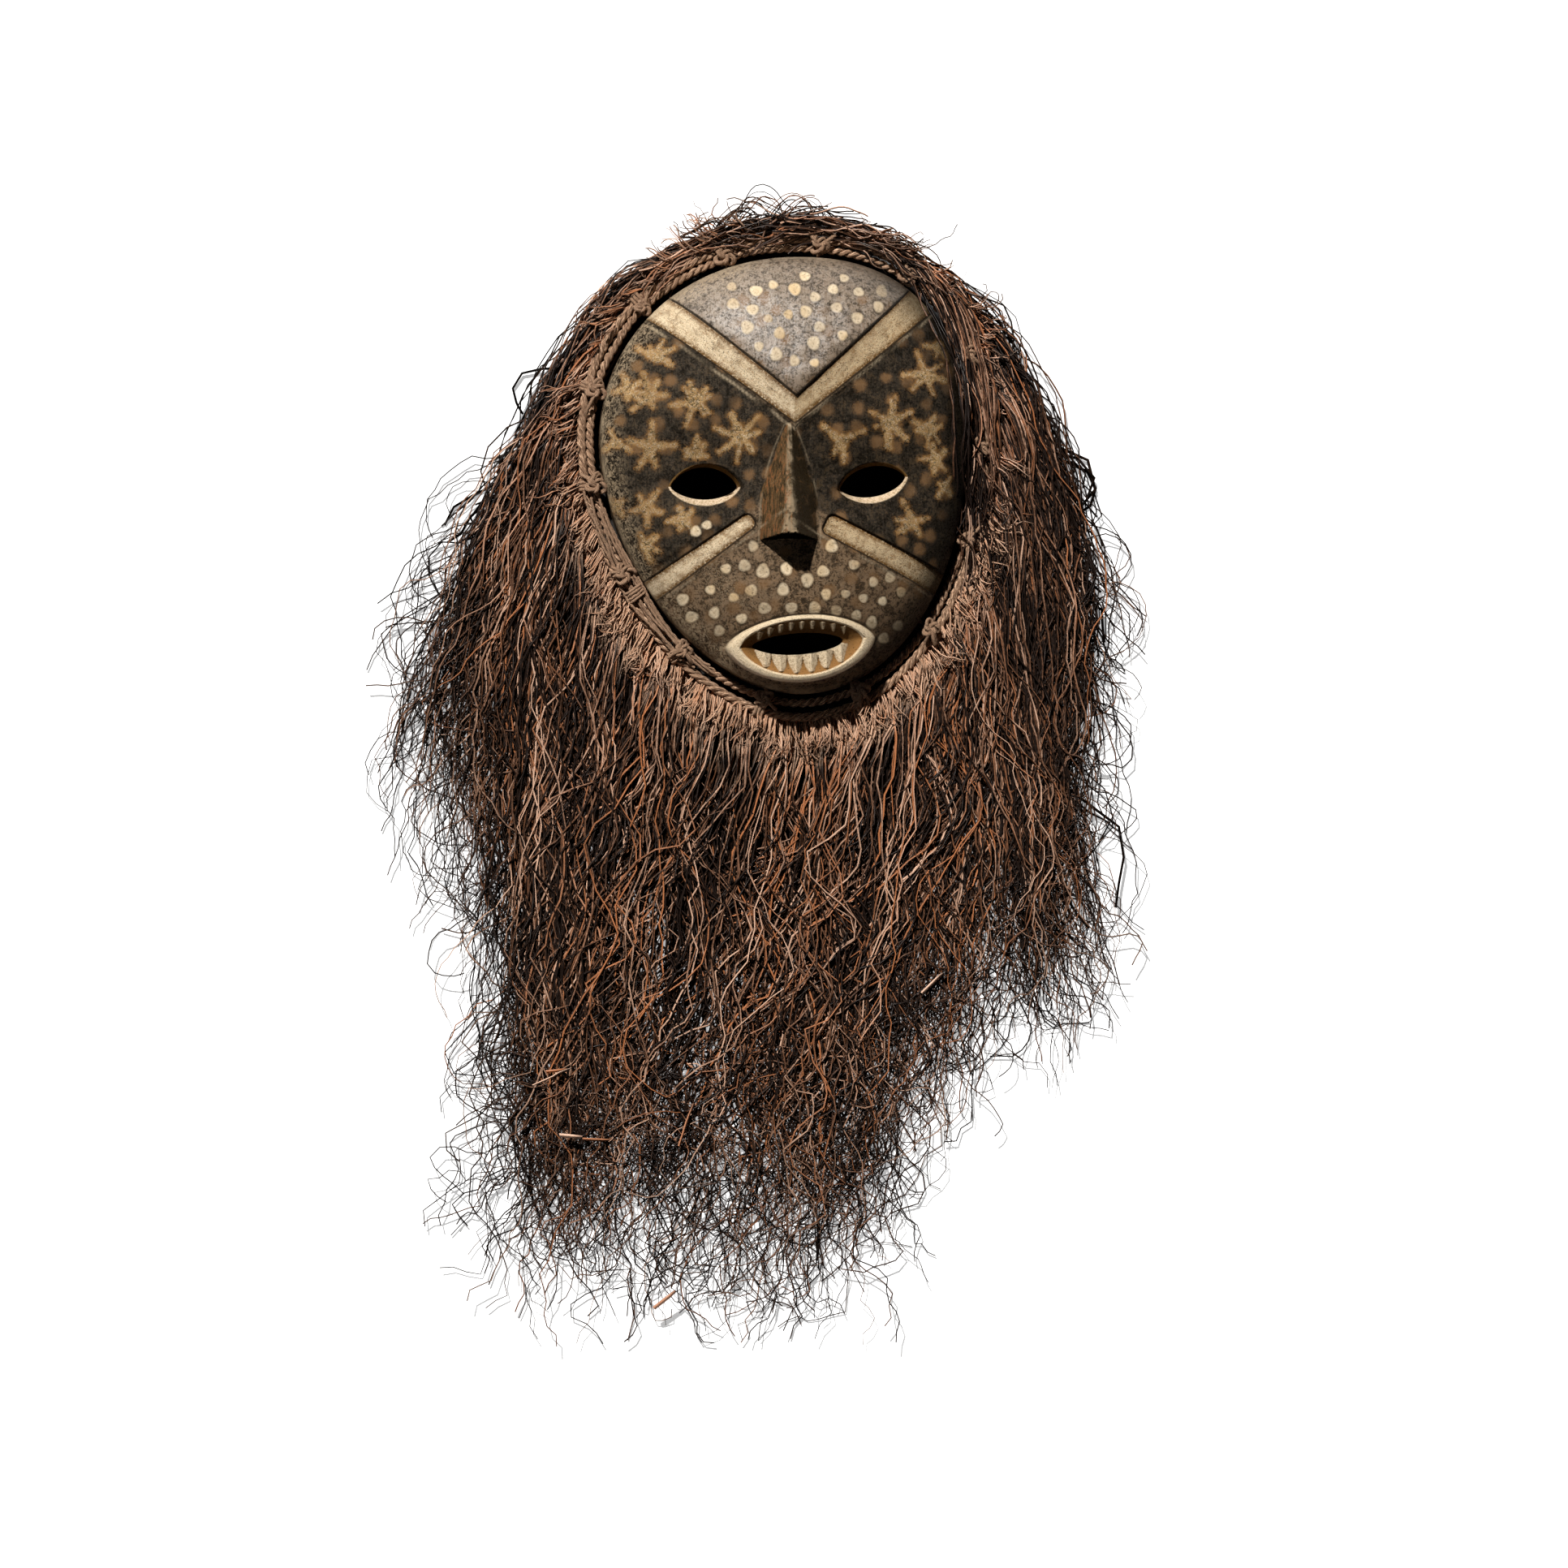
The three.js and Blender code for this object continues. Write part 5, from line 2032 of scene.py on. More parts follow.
        # The short band that is wound round them.
        t = np.linspace(-1, 1, 14)
        for turn in range(self.band_turns):
            side = math.radians(self.band_angle + self.band_step * turn)
            lines.put(self.place(side, self.band_middle + self.band_half * t,
                                 self.band_level - self.band_drop * np.abs(t) ** 5, 0.4 * t))
        return self.tree(material).grow("bast_strips", lines, {
            "Strand Radius": self.strips_radius * MM, "Rough": 1.3 * MM})


@dataclass(frozen=True)
class Layer:
    """One layer of a bunch: its locks, and the strands of each. Its deep share paints its strands
    near-black, as shade under the layers above.
    """

    locks: int
    copies: int
    points: int
    depth: Pair
    thick: float
    deep: float
    reach: Pair
    lean: float = 1.0
    calm: float = 0.0


@dataclass(frozen=True)
class Bunch:
    """One bunch of the fringe, between two shares of the way round the rim."""

    name: str
    node: str
    start: float
    end: float
    seed: int
    dusty: float
    over_rim: int = 0
    straws: int = 0


@dataclass
class Fringe:
    """The long fibre fringe that hangs from the heading cord."""

    leading: tuple[tuple[float, ...], ...] = (
        (98, -158, 102, -138, -66, -206, -168),
        (122, -112, 94, -226, -196, -186, -240),
        (150, -156, -50, -172, -197, -154, -322),
        (180, -147, -132, -140, -268, -118, -404),
        (207, -140, -195, -129, -338, -132, -496),
        (232, -106, -241, -131, -377, -126, -520),
        (253, -56, -240, -78, -380, -84, -520),
        (273, 2, -240, -12, -385, -14, -520),
        (295, 50, -220, 38, -365, 18, -500),
        (318, 82, -182, 106, -298, 52, -412),
        (342, 116, -137, 140, -245, 140, -352),
        (370, 159, -90, 130, -224, 160, -348),
        (402, 166, -15, 174, -140, 138, -256),
        (442, 143, 115, 179, -79, 174, -168),
    )
    over_rim: tuple[tuple[float, ...], ...] = (
        (78, 84, 114, 105, 52, 100, -92),
        (62, 103, 102, 115, 22, 111, -118),
        (46, 122, 82, 131, -18, 134, -150),
    )
    bunches: tuple[Bunch, ...] = (
        Bunch("long_hair_left", "hair_left", 0.0, 0.26, 1, 0.25),
        Bunch("long_beard_left", "beard_left", 0.26, 0.535, 2, 0.9, straws=6),
        Bunch("long_beard_right", "beard_right", 0.535, 0.76, 3, 0.9, straws=1),
        Bunch("long_hair_right", "hair_right", 0.76, 1.0, 4, 0.2, over_rim=16),
    )
    # deep: how near-black each layer's strands are painted, as shade under the layers above.
    layers: tuple[Layer, ...] = (
        Layer(50, 4, 14, (0.0, 0.3), 1.9, 1.0, (0.52, 0.84), 0.5, 0.6),
        Layer(50, 4, 30, (0.15, 0.65), 1.0, 0.8, (0.82, 1.06)),
        Layer(76, 5, 42, (0.45, 1.0), 0.94, 0.0, (0.86, 1.07)),
        Layer(14, 1, 44, (0.2, 1.0), 0.85, 0.3, (0.98, 1.08), 1.4),
    )
    root_out: float = 12.0
    root_height: float = 22.0
    tip_height: float = 8.0
    lowest: float = 1.1
    radius: float = 0.56
    over_calm: float = 0.35
    side_spread: float = 7.0
    wildest: float = 1.4
    drifts: tuple[Pair, ...] = ((3.6, 0.28), (2.6, 0.71))
    root_push: float = 3.0
    narrowing: float = 0.08
    rim_zone: Pair = (13, 30)
    over_start: float = 9.0
    over_depth: float = 2.4
    swell: float = 0.9
    fuzz_count: Pair = (30, 110)
    fuzz_length: Pair = (9, 34)
    fuzz_out: Pair = (11, 14)
    fuzz_foot: Pair = (6, 10)
    fuzz_top: Pair = (9, 20)
    fuzz_spread: float = 0.8
    fuzz_scatter: float = 0.35
    straw_at: Pair = (0.6, 0.92)
    straw_turn: Pair = (-0.5, 1.3)
    straw_half: Pair = (6, 15)
    straw_thick: Pair = (1.5, 2.6)
    straw_level: float = 14.0
    spine: int = 34
    sways: tuple[tuple[float, float, float], ...] = ((7.4, 17, 38), (3.6, 8, 15))
    widest_loop: float = 2.1

    def strand(self, row: Points, s: Points) -> Points:
        """A leading strand of one table row, read at shares s along it.

        Args:
            row: the leading strand's row.
            s: the shares.

        Returns:
            The strand's points.
        """
        root = PLAN.rim(math.radians(row[0]), self.root_out)[0]
        reach, fall, tip = row[1:3], row[3:5], row[5:7]
        s = s[:, None]
        return ((1 - s) ** 3 * root + 3 * (1 - s) ** 2 * s * reach
                + 3 * (1 - s) * s**2 * fall + s**3 * tip)

    def middle(self, row: Points) -> float:
        """How near a leading strand is to the middle of the beard, from 0 to 1."""
        return math.exp(-(((row[0] - 262) / 60) ** 2))

    def guide(self, row: Points, layer: Layer, rng: np.random.Generator,
              over: bool) -> tuple[Points, float]:
        """One lock's line: a leading strand with its own sway, depth and length.

        Args:
            row: the leading strand's row of the table.
            layer: the layer that the lock belongs to.
            rng: the seeded source of chance.
            over: whether the lock is laid over the edge of the wood.

        Returns:
            The line and its length.
        """
        s = np.linspace(0, 1, self.spine)
        path = self.strand(row, s * rng.uniform(*layer.reach))
        run = np.r_[0, np.cumsum(np.linalg.norm(np.diff(path, axis=0), axis=1))]
        way = np.gradient(path, axis=0)
        way /= np.linalg.norm(way, axis=1, keepdims=True)
        across = np.c_[-way[:, 1], way[:, 0]]
        calm = self.over_calm if over else layer.lean
        side = rng.normal(0, self.side_spread) * calm * s**1.4
        wild = min(calm, self.wildest) * (0.8 + 1.5 * self.middle(row))
        for size, low, high in self.sways:
            side += (size * np.clip(rng.normal(), -1.5, 1.5) * wild * smoothstep(run, 10, 90)
                     * np.sin(run / rng.uniform(low, high) + rng.uniform(0, TURN)))
        side += sum(size * math.sin(row[0] * rate) for size, rate in self.drifts) * s
        path = path + across * side[:, None]
        if not over:
            push = PLAN.outward(math.radians(row[0])) * self.root_push
            path += push * smoothstep(run, 0, 9)[:, None]
            clear = (1 + 0.15 * smoothstep(run, 0, 14)) / PLAN.reach(*path.T)
            middle = np.array([PLAN.centre, 0.0])
            path = middle + (path - middle) * np.maximum(1, clear)[:, None]
            path[:, 0] *= 1 - self.narrowing * s * (layer.calm > 0)
        depth = rng.uniform(*layer.depth)
        full = mix(self.root_height, self.tip_height, s**0.7)
        height = 1.4 + depth * (full - 2.4)
        height = mix(4.0 + 3.0 * depth, height,
                     smoothstep(PLAN.gap(*path.T), *self.rim_zone))
        height += (self.swell * np.sin(run / 27 + rng.uniform(0, TURN))
                   * smoothstep(run, 30, 80))
        if over:
            height = np.maximum(height, self.support(path) + self.over_depth * depth)
            height[1:-1] = (height[:-2] + 2 * height[1:-1] + height[2:]) / 4
            height[0] = self.over_start
        return np.c_[path, np.maximum(height, self.lowest)], float(run[-1])

    def support(self, path: Points) -> Points:
        """The height of the wood and the cords under a line that is laid over them.

        Args:
            path: the points of the line.

        Returns:
            The height under each point.
        """
        gap = PLAN.gap(*path.T)
        beside = 17.5 - 1.0 * smoothstep(gap, 4, 12) - 14.5 * smoothstep(gap, 14, 34)
        return np.where(gap < 0, PLAN.dome(*path.T) + 2.4, beside)

    def leader(self, share: float, rows: tuple[tuple[float, ...], ...] | None = None) -> Points:
        """A row of the table of leading strands, or of other rows, read at a share of it."""
        return catmull(np.array(rows or self.leading), np.array([share]))[0]

    def locks(self, bunch: Bunch) -> Lines:
        """Lays out all the guide lines of one bunch.

        Args:
            bunch: the bunch.

        Returns:
            The lines, with the numbers that the tree reads.
        """
        rng = np.random.default_rng(bunch.seed)
        lines = Lines()
        for layer in self.layers:
            for i in range(layer.locks):
                share = np.clip((i + rng.uniform(-1.5, 2.5)) / layer.locks, 0, 1)
                row = self.leader(mix(bunch.start, bunch.end, share))
                path, length = self.guide(row, layer, rng, False)
                self.put(lines, path, length, layer, rng, bunch.dusty,
                         max(layer.calm, 0.55 * (1 - self.middle(row))))
        for i in range(bunch.over_rim):
            row = self.leader((i + rng.uniform(0, 1)) / bunch.over_rim, self.over_rim)
            path, length = self.guide(row, self.layers[2], rng, True)
            self.put(lines, path, length, self.layers[2], rng, 0.1, calm=0.8)
        self.fuzz(lines, bunch, rng)
        self.straws(lines, bunch, rng)
        return lines

    def put(self, lines: Lines, path: Points, length: float, layer: Layer,
            rng: np.random.Generator, dusty: float, calm: float = 0.0) -> None:
        """Adds one lock's line with its numbers.

        Args:
            lines: takes the new lines.
            path: the line's points.
            length: the lock's length.
            layer: the lock's layer.
            rng: the seeded source of chance.
            dusty: how dusty the roots are.
            calm: how far the strands keep to the line, up to 1.
        """
        lines.lock(path, layer.copies, layer.points, length=length, thick=layer.thick,
                   deep=layer.deep * rng.uniform(0.85, 1.0), dusty=dusty, calm=calm,
                   tone=rng.uniform(0.0, 0.7) - 0.2 * (1 - dusty))

    def fuzz(self, lines: Lines, bunch: Bunch, rng: np.random.Generator) -> None:
        """Adds the short dusty fibres that stand round the roots.

        Args:
            lines: takes the new lines.
            bunch: the bunch.
            rng: the seeded source of chance.
        """
        fewest, dusty_more = self.fuzz_count
        for _ in range(int(fewest + dusty_more * bunch.dusty)):
            row = self.leader(rng.uniform(bunch.start, bunch.end))
            length = rng.uniform(*self.fuzz_length)
            angle = math.radians(row[0])
            root = PLAN.rim(angle, rng.uniform(*self.fuzz_out))[0]
            way = self.strand(row, np.array([0.0, 0.1]))
            heading = (way[1] - way[0]) / np.linalg.norm(way[1] - way[0])
            heading = (heading + self.fuzz_spread * PLAN.outward(angle)[0]
                       + rng.normal(0, self.fuzz_scatter, 2))
            heading /= np.linalg.norm(heading)
            s = np.linspace(0, 1, 8)
            rise = mix(rng.uniform(*self.fuzz_foot), rng.uniform(*self.fuzz_top),
                       np.sin(s * 2.2))
            lines.lock(np.c_[root + np.outer(s * length, heading), rise], 5, 8, length=length,
                       thick=0.78, deep=0.0, dusty=bunch.dusty, calm=-1.2, tone=0.8)

    def straws(self, lines: Lines, bunch: Bunch, rng: np.random.Generator) -> None:
        """Adds a few broad flat straws that lie loose on the fringe.

        Args:
            lines: takes the new lines.
            bunch: the bunch.
            rng: the seeded source of chance.
        """
        for _ in range(bunch.straws):
            row = self.leader(rng.uniform(bunch.start, bunch.end))
            middle = self.strand(row, np.array([rng.uniform(*self.straw_at)]))[0]
            turn = rng.uniform(*self.straw_turn)
            half = rng.uniform(*self.straw_half) * np.array([math.cos(turn), math.sin(turn)])
            s = np.linspace(-1, 1, 5)
            path = middle + np.outer(s, half)
            lines.lock(np.c_[path, self.straw_level + 1.5 * np.cos(s * 1.2)], 1, 6,
                       length=float(2 * np.linalg.norm(half)),
                       thick=rng.uniform(*self.straw_thick), deep=0.0, dusty=0.0, calm=0.8,
                       tone=1.3)

    def tree(self, material: bpy.types.Material) -> Growth:
        """Builds the tree that fills each guide line out to a lock of loose strands.

        Every strand follows its guide at an angle of its own that wanders, and the strand is
        what comes out when all its turned steps are added up, so that it can curl and loop.
        It ends where it first leaves the room that loose fibre may take.

        Args:
            material: the fibre's finish.

        Returns:
            The tree.
        """
        g = Growth("loose_strands", {
            "Strand Radius": self.radius * MM, "Root Spread": 2.2 * MM, "Lean": 0.07,
            "Swing": 9.0 * MM, "Frizz": 0.95, "Curl": 0.18, "Shortest": 0.76, "Seed": 0,
            "Side Limit": 223.0 * MM, "Foot Limit": 342.0 * MM})
        tag = SimpleNamespace(**{name: g.stored(name) for name in (
            "copies", "points", "length", "thick", "calm", "tone", "along", "pace")})
        own = g.copied(g.curves(), tag.copies).outputs["Geometry"]
        line = g.resampled(own, "COUNT", tag.points)
        number = g.per_line(g.add("GeometryNodeInputIndex"), "INT")
        key = g.total(number, g.product(g.inputs["Seed"], 9973.0))

        def draw(low: float, high: float, extra: int) -> Socket:
            """A random number for each strand."""
            return g.random(low, high, extra, key)

        share = g.along("Factor")
        end = g.rest(g.product(g.rest(g.inputs["Shortest"]),
                               g.math("POWER", draw(0, 1, 11), 1.2)))
        eased = g.product(share, g.ramp(g.rest(share), 0.45, 1.0), end)
        pace = g.product(g.ramp(g.ramp(share, -2.0, 1.0), 0.45, 1.0),
                         g.math("DIVIDE", g.product(tag.length, end, MM),
                                g.math("SUBTRACT", tag.points, 1.0)))
        sample = g.node("GeometryNodeSampleCurve", {"Curves": own, "Factor": eased,
                                                    "Curve Index": number}, mode="FACTOR")
        line = g.store(line, along=eased, pace=pace)
        line = g.store(line, "FLOAT_VECTOR", way=sample.outputs["Tangent"])
        line = g.placed(line, "Position", sample.outputs["Position"])

        way = g.stored("way", "FLOAT_VECTOR")
        across = g.across(way)
        run = g.product(tag.along, tag.length)
        loose = g.ramp(tag.calm, -0.8, 1.0)

        def drift(size: float, amount: object, row: float) -> Socket:
            """An uneven turning to and fro along each strand, with swings of a given size."""
            spot = g.combine(g.math("DIVIDE", run, size), draw(0, 900, 3), row)
            return g.product(g.math("SUBTRACT", g.noise(spot, 1.0, 1.0), 0.5), amount, 4.0)

        wild = g.product(g.math("POWER", draw(0, 1, 5), 1.5), g.inputs["Curl"],
                         g.math("SIGN", draw(-1, 1, 6)))
        before = g.product(tag.length, draw(0.54, 0.95, 7))
        after = g.math("MAXIMUM", g.math("SUBTRACT", run, before), 0.0)
        loop = g.math("SINE", g.math("DIVIDE", g.product(wild, after), self.widest_loop))
        tight = g.step(g.math("ABSOLUTE", wild), 0.0, 0.12)
        frizz = g.ramp(g.math("POWER", tag.along, 1.5), 1.3, 0.4)
        turn = g.product(g.total(
            g.product(draw(-1, 1, 4), g.inputs["Lean"], g.step(run, 8.0, 60.0)),
            g.product(drift(13.0, g.inputs["Frizz"], 7.0), frizz, g.step(run, 4.0, 30.0)),
            g.product(loop, tight, self.widest_loop)), loose)
        back = g.product(g.math("SUBTRACT", g.math("COSINE", turn), 1.0), tag.pace)
        aside = g.product(g.math("SINE", turn), tag.pace)
        shift = g.running(g.vector("ADD", g.scaled(way, back), g.scaled(across, aside)), number,
                          "FLOAT_VECTOR")
        swing = g.total(drift(90.0, 0.5, 0.0), drift(38.0, 0.27, 19.0))
        fan = g.total(g.product(g.total(draw(-1, 1, 1), draw(-0.7, 0.7, 2)),
                                g.inputs["Root Spread"]),
                      g.product(swing, g.inputs["Swing"], g.step(run, 6.0, 50.0), loose))
        lift = g.total(g.product(draw(-1, 1, 8), g.ramp(tag.along, 2.4 * MM, 1.3 * MM)),
                       g.product(drift(40.0, 2.0 * MM, 13.0), tag.along))
        line = g.placed(line, "Offset", g.vector("ADD", shift, g.vector(
            "ADD", g.scaled(across, fan), g.combine(0.0, 0.0, lift))))

        x, y, z = g.node("ShaderNodeSeparateXYZ", {0: g.position()}).outputs
        past = g.math("MAXIMUM",
                      g.math("SUBTRACT", g.math("ABSOLUTE", x), g.inputs["Side Limit"]),
                      g.math("SUBTRACT", g.product(y, -1.0), g.inputs["Foot Limit"]))
        floor = g.product(g.inputs["Strand Radius"], 1.4)
        line = g.placed(line, "Position", g.combine(x, y, g.math("MAXIMUM", z, floor)))
        gone = g.running(g.math("GREATER_THAN", past, 0.0), number, "FLOAT")
        line = g.add("GeometryNodeDeleteGeometry",
                     {"Geometry": line, "Selection": g.math("GREATER_THAN", gone, 0.5)},
                     domain="POINT")
        line = g.store(line, shade=g.ramp(draw(-0.5, 0.5, 9), 1.1, tag.tone), hue=draw(0, 1, 12))
        thick = g.product(draw(0.6, 1.3, 10), tag.thick, g.step(tag.along, 0.45, 1.0, 1.0, 0.7))
        g.close(g.tube(line, 3, g.inputs["Strand Radius"], False, Scale=thick, Fill_Caps=True),
                material)
        return g

    def build(self, material: bpy.types.Material) -> list[tuple[bpy.types.Object, str]]:
        """Makes the four bunches.

        Args:
            material: the fibre's finish.

        Returns:
            Each bunch, with the node that it stands for.
        """
        tree = self.tree(material)
        return [(tree.grow(bunch.name, self.locks(bunch), {"Seed": bunch.seed}), bunch.node)
                for bunch in self.bunches]


@dataclass(frozen=True)
class Wisp:
    """What the strands of one kind of lock in the crest are like."""

    copies: int
    points: int
    thick: float
    deep: float
    tone: Pair


@dataclass
class Crest:
    """The tuft of fibre that is laid along the top of the rim, with loops standing out."""

    seed: int = 8
    dusty: float = 0.15
    calm: float = 0.2
    band: int = 40
    band_lock: Wisp = Wisp(7, 20, 1.0, 0.0, (0.3, 0.7))
    low_lock: Wisp = Wisp(7, 20, 1.5, 0.9, (0.3, 0.7))
    band_start: Pair = (52, 132)
    band_sweep: Pair = (16, 42)
    band_limits: Pair = (44, 142)
    band_out: tuple[Pair, Pair] = ((13, 21), (13, 25))
    band_foot: Pair = (4, 12)
    band_top: Pair = (8, 25)
    low_top: Pair = (8, 14)
    loops: int = 16
    loop_lock: Wisp = Wisp(4, 24, 0.72, 0.3, (0.1, 0.6))
    loop_start: Pair = (-64, 4)
    loop_width: Pair = (24, 56)
    loop_height: Pair = (3, 25)
    loop_lean: Pair = (0.6, 1.3)
    loop_foot: float = 115.0
    loop_level: float = 10.0
    frays: int = 9
    fray_lock: Wisp = Wisp(4, 12, 0.62, 0.3, (0.1, 0.5))
    fray_across: Pair = (-20, 42)
    fray_up: Pair = (113, 119)
    fray_turn: Pair = (-0.1, 1.1)
    fray_length: Pair = (10, 26)
    fray_level: float = 12.0

    def put(self, lines: Lines, path: Points, wisp: Wisp, rng: np.random.Generator) -> None:
        """Adds one lock's line with its numbers.

        Args:
            lines: takes the new lines.
            path: the line's points.
            wisp: what its strands are like.
            rng: the seeded source of chance.
        """
        length = float(np.linalg.norm(np.diff(path, axis=0), axis=1).sum())
        lines.lock(path, wisp.copies, wisp.points, length=length, thick=wisp.thick,
                   deep=wisp.deep, dusty=self.dusty, calm=self.calm, tone=rng.uniform(*wisp.tone))

    def build(self, fringe: Fringe, material: bpy.types.Material) -> bpy.types.Object:
        """Makes the tuft.

        Args:
            fringe: gives the tree that thickens guide lines.
            material: the fibre's finish.

        Returns:
            The tuft as one piece.
        """
        rng = np.random.default_rng(self.seed)
        lines = Lines()
        s = np.linspace(0, 1, 18)

        # Locks that lie along the rim, the lowest third thick and painted near-black as shade.
        for i in range(self.band):
            low = i < self.band // 3
            first = rng.uniform(*self.band_start)
            sweep = rng.uniform(*self.band_sweep) * rng.choice((-1, 1))
            angles = np.radians(np.clip(first + sweep * s, *self.band_limits))
            out = mix(*(rng.uniform(*span) for span in self.band_out), s)
            out *= mix(0.6, 1.0, np.sin(np.clip((angles - 0.7) / 1.85, 0, 1) * math.pi))
            foot = rng.uniform(*self.band_foot)
            top = rng.uniform(*(self.low_top if low else self.band_top))
            self.put(lines, np.c_[PLAN.rim(angles, out), mix(foot, top, np.sin(s * 2.0))],
                     self.low_lock if low else self.band_lock, rng)

        # Loops that stand out past the band.
        for _ in range(self.loops):
            start = rng.uniform(*self.loop_start)
            end = start + rng.uniform(*self.loop_width)
            tall = rng.uniform(*self.loop_height)
            lean = rng.uniform(*self.loop_lean)
            y = (self.loop_foot + 2.5 * np.sin(s * 7 + start)
                 + tall * np.sin(s**lean * math.pi))
            rise = self.loop_level + 8 * np.sin(s * 3)
            self.put(lines, np.c_[mix(start, end, s), y, rise], self.loop_lock, rng)

        # Loose ends at the crown.
        for _ in range(self.frays):
            start = np.array([rng.uniform(*self.fray_across), rng.uniform(*self.fray_up)])
            way = rng.uniform(*self.fray_turn)
            reach = rng.uniform(*self.fray_length) * np.array([math.cos(way),
                                                               math.sin(way) * 0.7])
            self.put(lines, np.c_[start + np.outer(s, reach), self.fray_level + 4 * s],
                     self.fray_lock, rng)
        return fringe.tree(material).grow("crest_tuft", lines, {
            "Root Spread": 3.0 * MM, "Lean": 0.2, "Swing": 12.0 * MM, "Frizz": 0.8, "Curl": 0.13,
            "Shortest": 0.5, "Seed": self.seed})


@dataclass(frozen=True)
class BastCord:
    """Dull tan bast, twisted and dusty."""

    light: Colour = paint(232, 196, 164)
    middle: Colour = paint(172, 134, 104)
    dark: Colour = paint(66, 46, 33)

    def material(self) -> bpy.types.Material:
        """Builds the cord's finish.

        Returns:
            The material.
        """
        s = Shader("bast_cord")
        place = s.place()
        fibre = s.noise(s.combine(s.product(s.attribute("along"), 0.35),
                                  s.product(s.attribute("round"), 14.0),
                                  s.product(s.attribute("ply"), 9.1)), 1.0, 4, 0.6)
        speck = s.noise(place, 1.8, 3, 0.7)
        colour = s.coats(
            self.dark,
            (self.middle, s.step(fibre, 0.3, 0.68)),
            (self.light, s.step(fibre, 0.46, 0.74),
             s.step(s.noise(place, 0.09, 3), 0.3, 0.6, 0.4, 1.0)),
            (self.dark, s.step(speck, 0.58, 0.76), 0.6))
        s.set(Base_Color=colour, Roughness=0.85, Specular_IOR_Level=0.3)
        s.bump(s.total(fibre, s.product(speck, 0.4)), 0.9, 0.35)
        return s.material


@dataclass(frozen=True)
class DryFibre:
    """Dry brown plant fibre: pale tan and orange-brown strands over dark ones, the lowest painted
    near-black as shade.
    """

    pink: Colour = paint(208, 168, 142)
    orange: Colour = paint(172, 108, 68)
    brown: Colour = paint(104, 71, 51)
    dark: Colour = paint(28, 17, 11)
    under: Colour = paint(6, 4, 3)
    dust: Colour = paint(200, 160, 130)

    def material(self) -> bpy.types.Material:
        """Builds the fibre's finish.

        Returns:
            The material.
        """
        s = Shader("dry_fibre")
        place = s.place()
        along, deep = s.attribute("along"), s.attribute("deep")
        streak = s.noise(place, 0.5, 3, 0.7)
        tone = s.total(s.attribute("shade"),
                       s.step(s.noise(place, 0.03, 3), 0.3, 0.7, -0.16, 0.16),
                       s.step(streak, 0.3, 0.7, -0.1, 0.1))
        lump = s.noise(place, 0.07, 2)
        run = s.ramp(lump, -60.0, s.ramp(along, s.attribute("length"), 30.0))
        colour = s.coats(
            self.dark,
            (self.brown, s.step(tone, 0.1, 0.48)),
            (s.coats(self.orange, (self.pink, s.step(s.attribute("hue"), 0.25, 0.65))),
             s.step(tone, 0.35, 0.95)),
            (self.dark, s.step(along, 0.5, 1.0, 0.0, 0.75)),
            (self.dust, s.attribute("dusty"), s.step(run, 8.0, 38.0, 1.0, 0.0),
             s.step(streak, 0.3, 0.6, 0.25, 0.95)),
            # Painted shade: strands deep in the fringe are painted near-black and lose their
            # gloss.
            (self.under, deep))
        s.set(Base_Color=colour, Roughness=0.44, Specular_IOR_Level=s.ramp(deep, -0.3, 0.3))
        s.bump(streak, 0.5, 0.2)
        return s.material


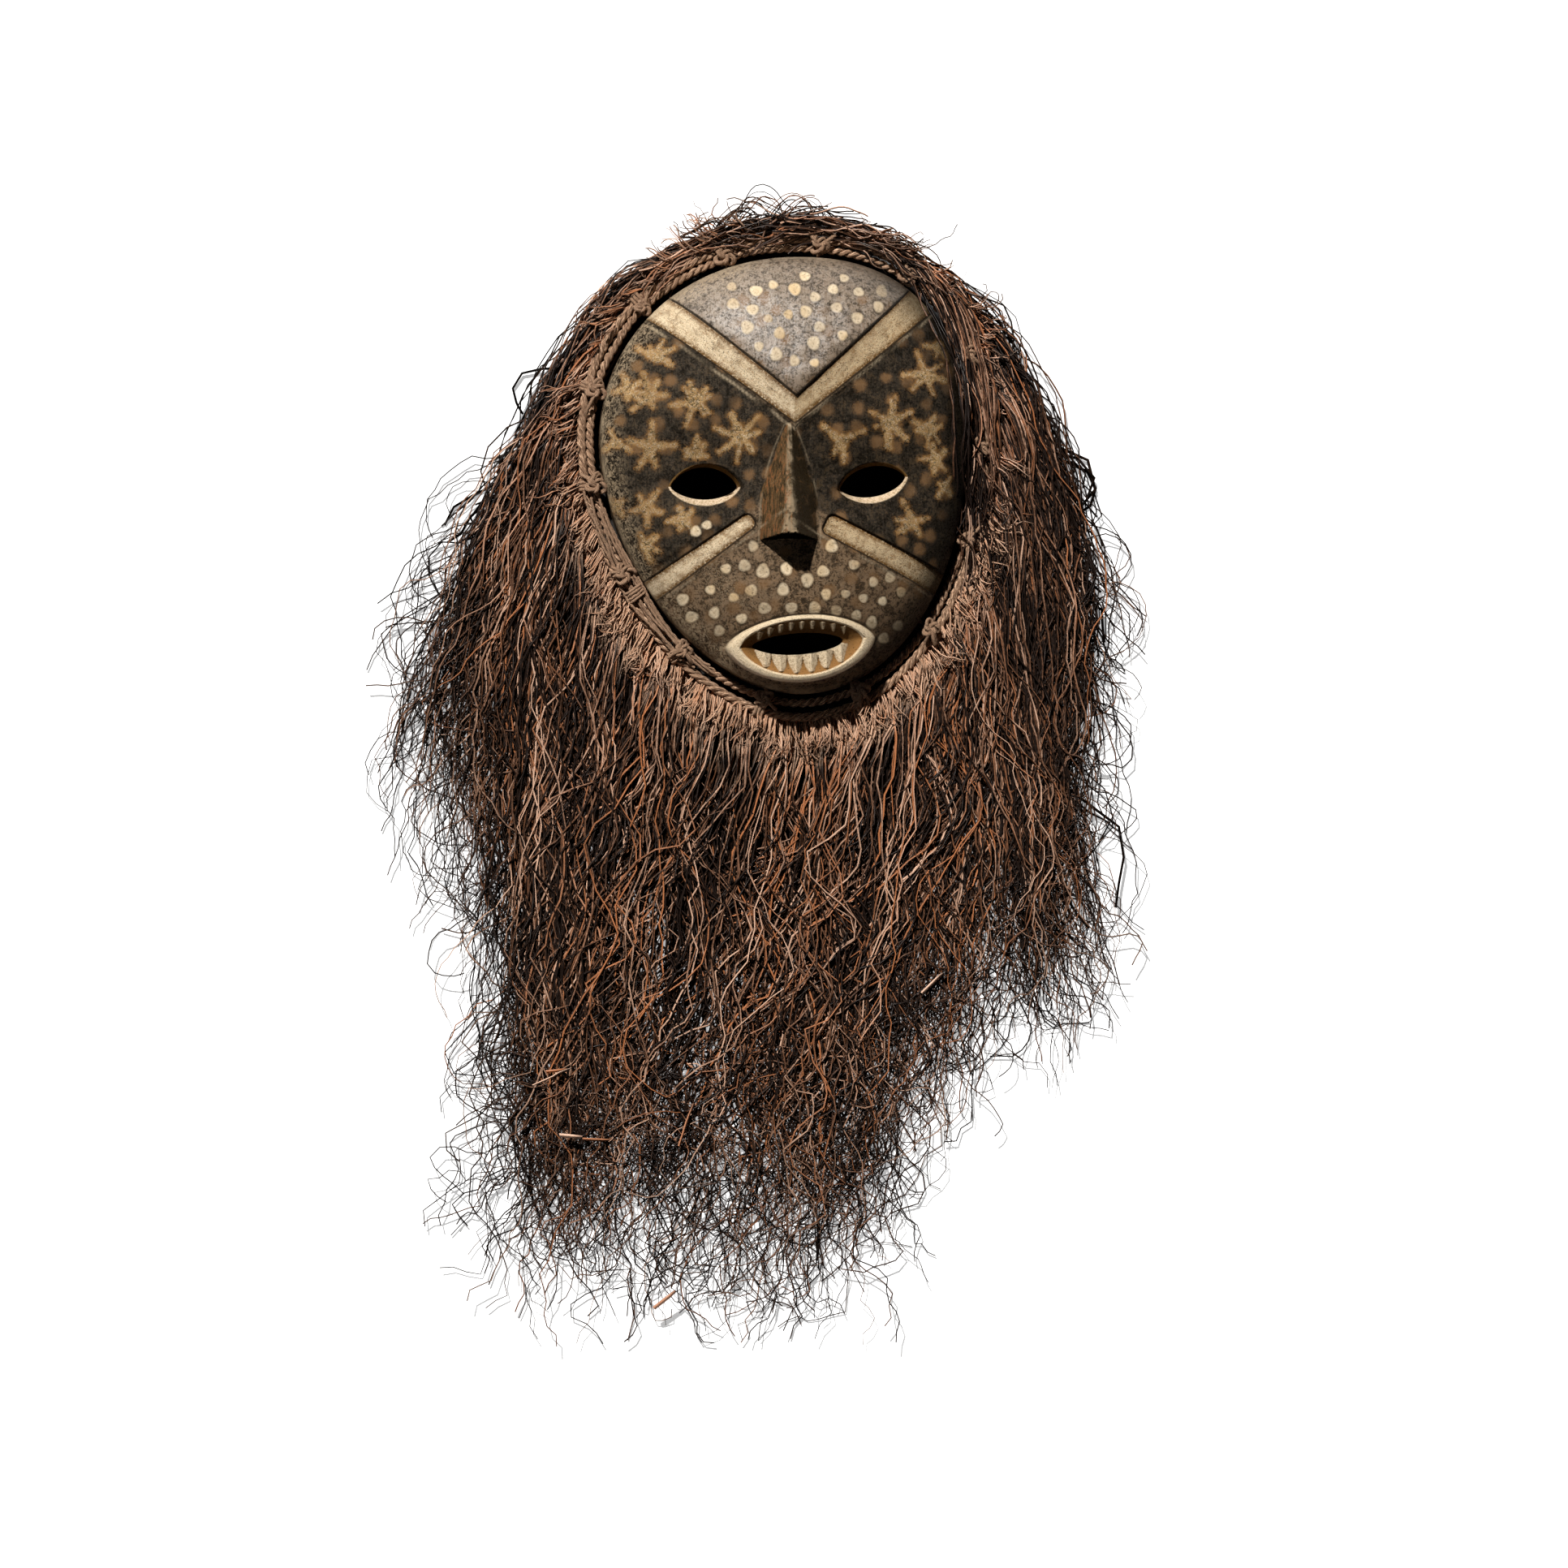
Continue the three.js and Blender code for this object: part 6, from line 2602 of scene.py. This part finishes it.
@dataclass(frozen=True)
class Studio:
    """The camera, the light and the floor."""

    distance: float = 3.0
    tilt: float = 5.5
    frame_width: float = 0.889
    target: Pair = (0.9, -193.7)
    sun: tuple[float, float, float] = (-0.28, 0.61, 0.74)
    sun_strength: float = 5.0
    sun_angle: float = 2.0
    soft: tuple[float, float, float] = (-0.80, -0.06, 0.60)
    soft_strength: float = 0.2
    soft_angle: float = 30.0
    fill: float = 0.012
    glow: float = 0.45
    shadow_patches: tuple[tuple[float, ...], ...] = ((-0.5, -19.75, 118, 137), (0, -120, 112, 178))
    floor_painted_shadow: Colour = (0.012, 0.01, 0.008, 1)
    floor_pale: Colour = (0.93, 0.93, 0.93, 1)
    floor_size: float = 6.0
    sky: Colour = (0.95, 0.97, 1, 1)
    lamp_colour: tuple[float, float, float] = (1.0, 0.985, 0.96)
    sensor: float = 36.0

    def build(self) -> None:
        """Sets the scene round the mask."""
        spot = PLAN.on_part(np.array([[*self.target, 0.0]]))[0]
        lean = math.radians(self.tilt)
        lens = bpy.data.cameras.new("camera")
        lens.sensor_width = self.sensor
        lens.lens = self.sensor * self.distance / self.frame_width
        lens.clip_end = 20
        camera = bpy.data.objects.new("camera", lens)
        camera.location = Vector(spot) + self.distance * Vector((-math.sin(lean), 0,
                                                                 math.cos(lean)))
        camera.rotation_euler = (0, -lean, 0)
        bpy.context.scene.collection.objects.link(camera)
        bpy.context.scene.camera = camera

        self.lamp("key", self.sun, self.sun_strength, self.sun_angle)
        self.lamp("soft", self.soft, self.soft_strength, self.soft_angle)
        world = bpy.data.worlds.new("studio")
        world.use_nodes = True
        sky = world.node_tree.nodes["Background"].inputs
        sky["Color"].default_value, sky["Strength"].default_value = self.sky, self.fill
        bpy.context.scene.world = world
        bpy.context.scene.view_settings.view_transform = "Standard"
        self.floor()

    def lamp(self, name: str, way: tuple[float, float, float], strength: float,
             angle: float) -> None:
        """Adds a lamp that shines from a direction.

        Args:
            name: the lamp's name.
            way: where the light comes from.
            strength: the lamp's strength.
            angle: how wide the lamp looks from the mask, in degrees.
        """
        lamp = bpy.data.lights.new(name, "SUN")
        lamp.energy = strength
        lamp.angle = math.radians(angle)
        lamp.color = self.lamp_colour
        holder = bpy.data.objects.new(name, lamp)
        holder.rotation_euler = Vector(way).to_track_quat("Z", "Y").to_euler()
        bpy.context.scene.collection.objects.link(holder)

    def floor(self) -> None:
        """Lays the plain pale floor, which glows, with a painted shadow under the mask and the
        thick of the fringe.
        """
        s = Shader("studio_floor")
        place = s.place()
        reach = 9.0
        for x, y, across, up in self.shadow_patches:
            middle = PLAN.on_part(np.array([[x, y, 0.0]]))[0] / MM
            gap = s.vector("DIVIDE", s.vector("SUBTRACT", place, tuple(middle)),
                           (across, up, 1.0))
            reach = s.math("MINIMUM", reach, s.add("ShaderNodeVectorMath", {0: gap}, out="Value",
                                                   operation="LENGTH"))
        # Painted shadow: the floor is near-black in these patches, and glows only outside them.
        bare = s.step(reach, 1.0, 1.08)
        s.set(Base_Color=s.coats(self.floor_painted_shadow, (self.floor_pale, bare)), Roughness=0.9,
              Emission_Color=(1, 1, 1, 1), Emission_Strength=s.product(bare, self.glow))
        size = self.floor_size
        mesh = bpy.data.meshes.new("floor")
        mesh.from_pydata([(-size, -size, 0), (size, -size, 0), (size, size, 0), (-size, size, 0)],
                         [], [(0, 1, 2, 3)])
        mesh.materials.append(s.material)
        new_piece("floor", mesh)


def main() -> None:
    """Builds the scene, one sub-assembly after another."""
    logging.basicConfig(level=logging.INFO, format="%(name)s: %(message)s")
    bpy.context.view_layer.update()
    Studio().build()
    face = CarvedFace().build(PaintedWood().material())
    dress(face, Slot.WOOD, "mask")
    bast, fibre = BastCord().material(), DryFibre().material()
    rim_cord, heading_cord = Cords().build(bast)
    dress(rim_cord, Slot.CORD, "rim_cord")
    dress(heading_cord, Slot.CORD, "fringe_cord")
    lashings = Lashings()
    for number, tie in enumerate(lashings.build(bast), 1):
        dress(tie, Slot.CORD, f"lashing_{number:02d}")
    dress(lashings.strips(bast), Slot.CORD)
    fringe = Fringe()
    for bunch, node in fringe.build(fibre):
        dress(bunch, Slot.FIBRE, node)
    dress(Crest().build(fringe, fibre), Slot.FIBRE, "crest")


if __name__ == "__main__":
    main()
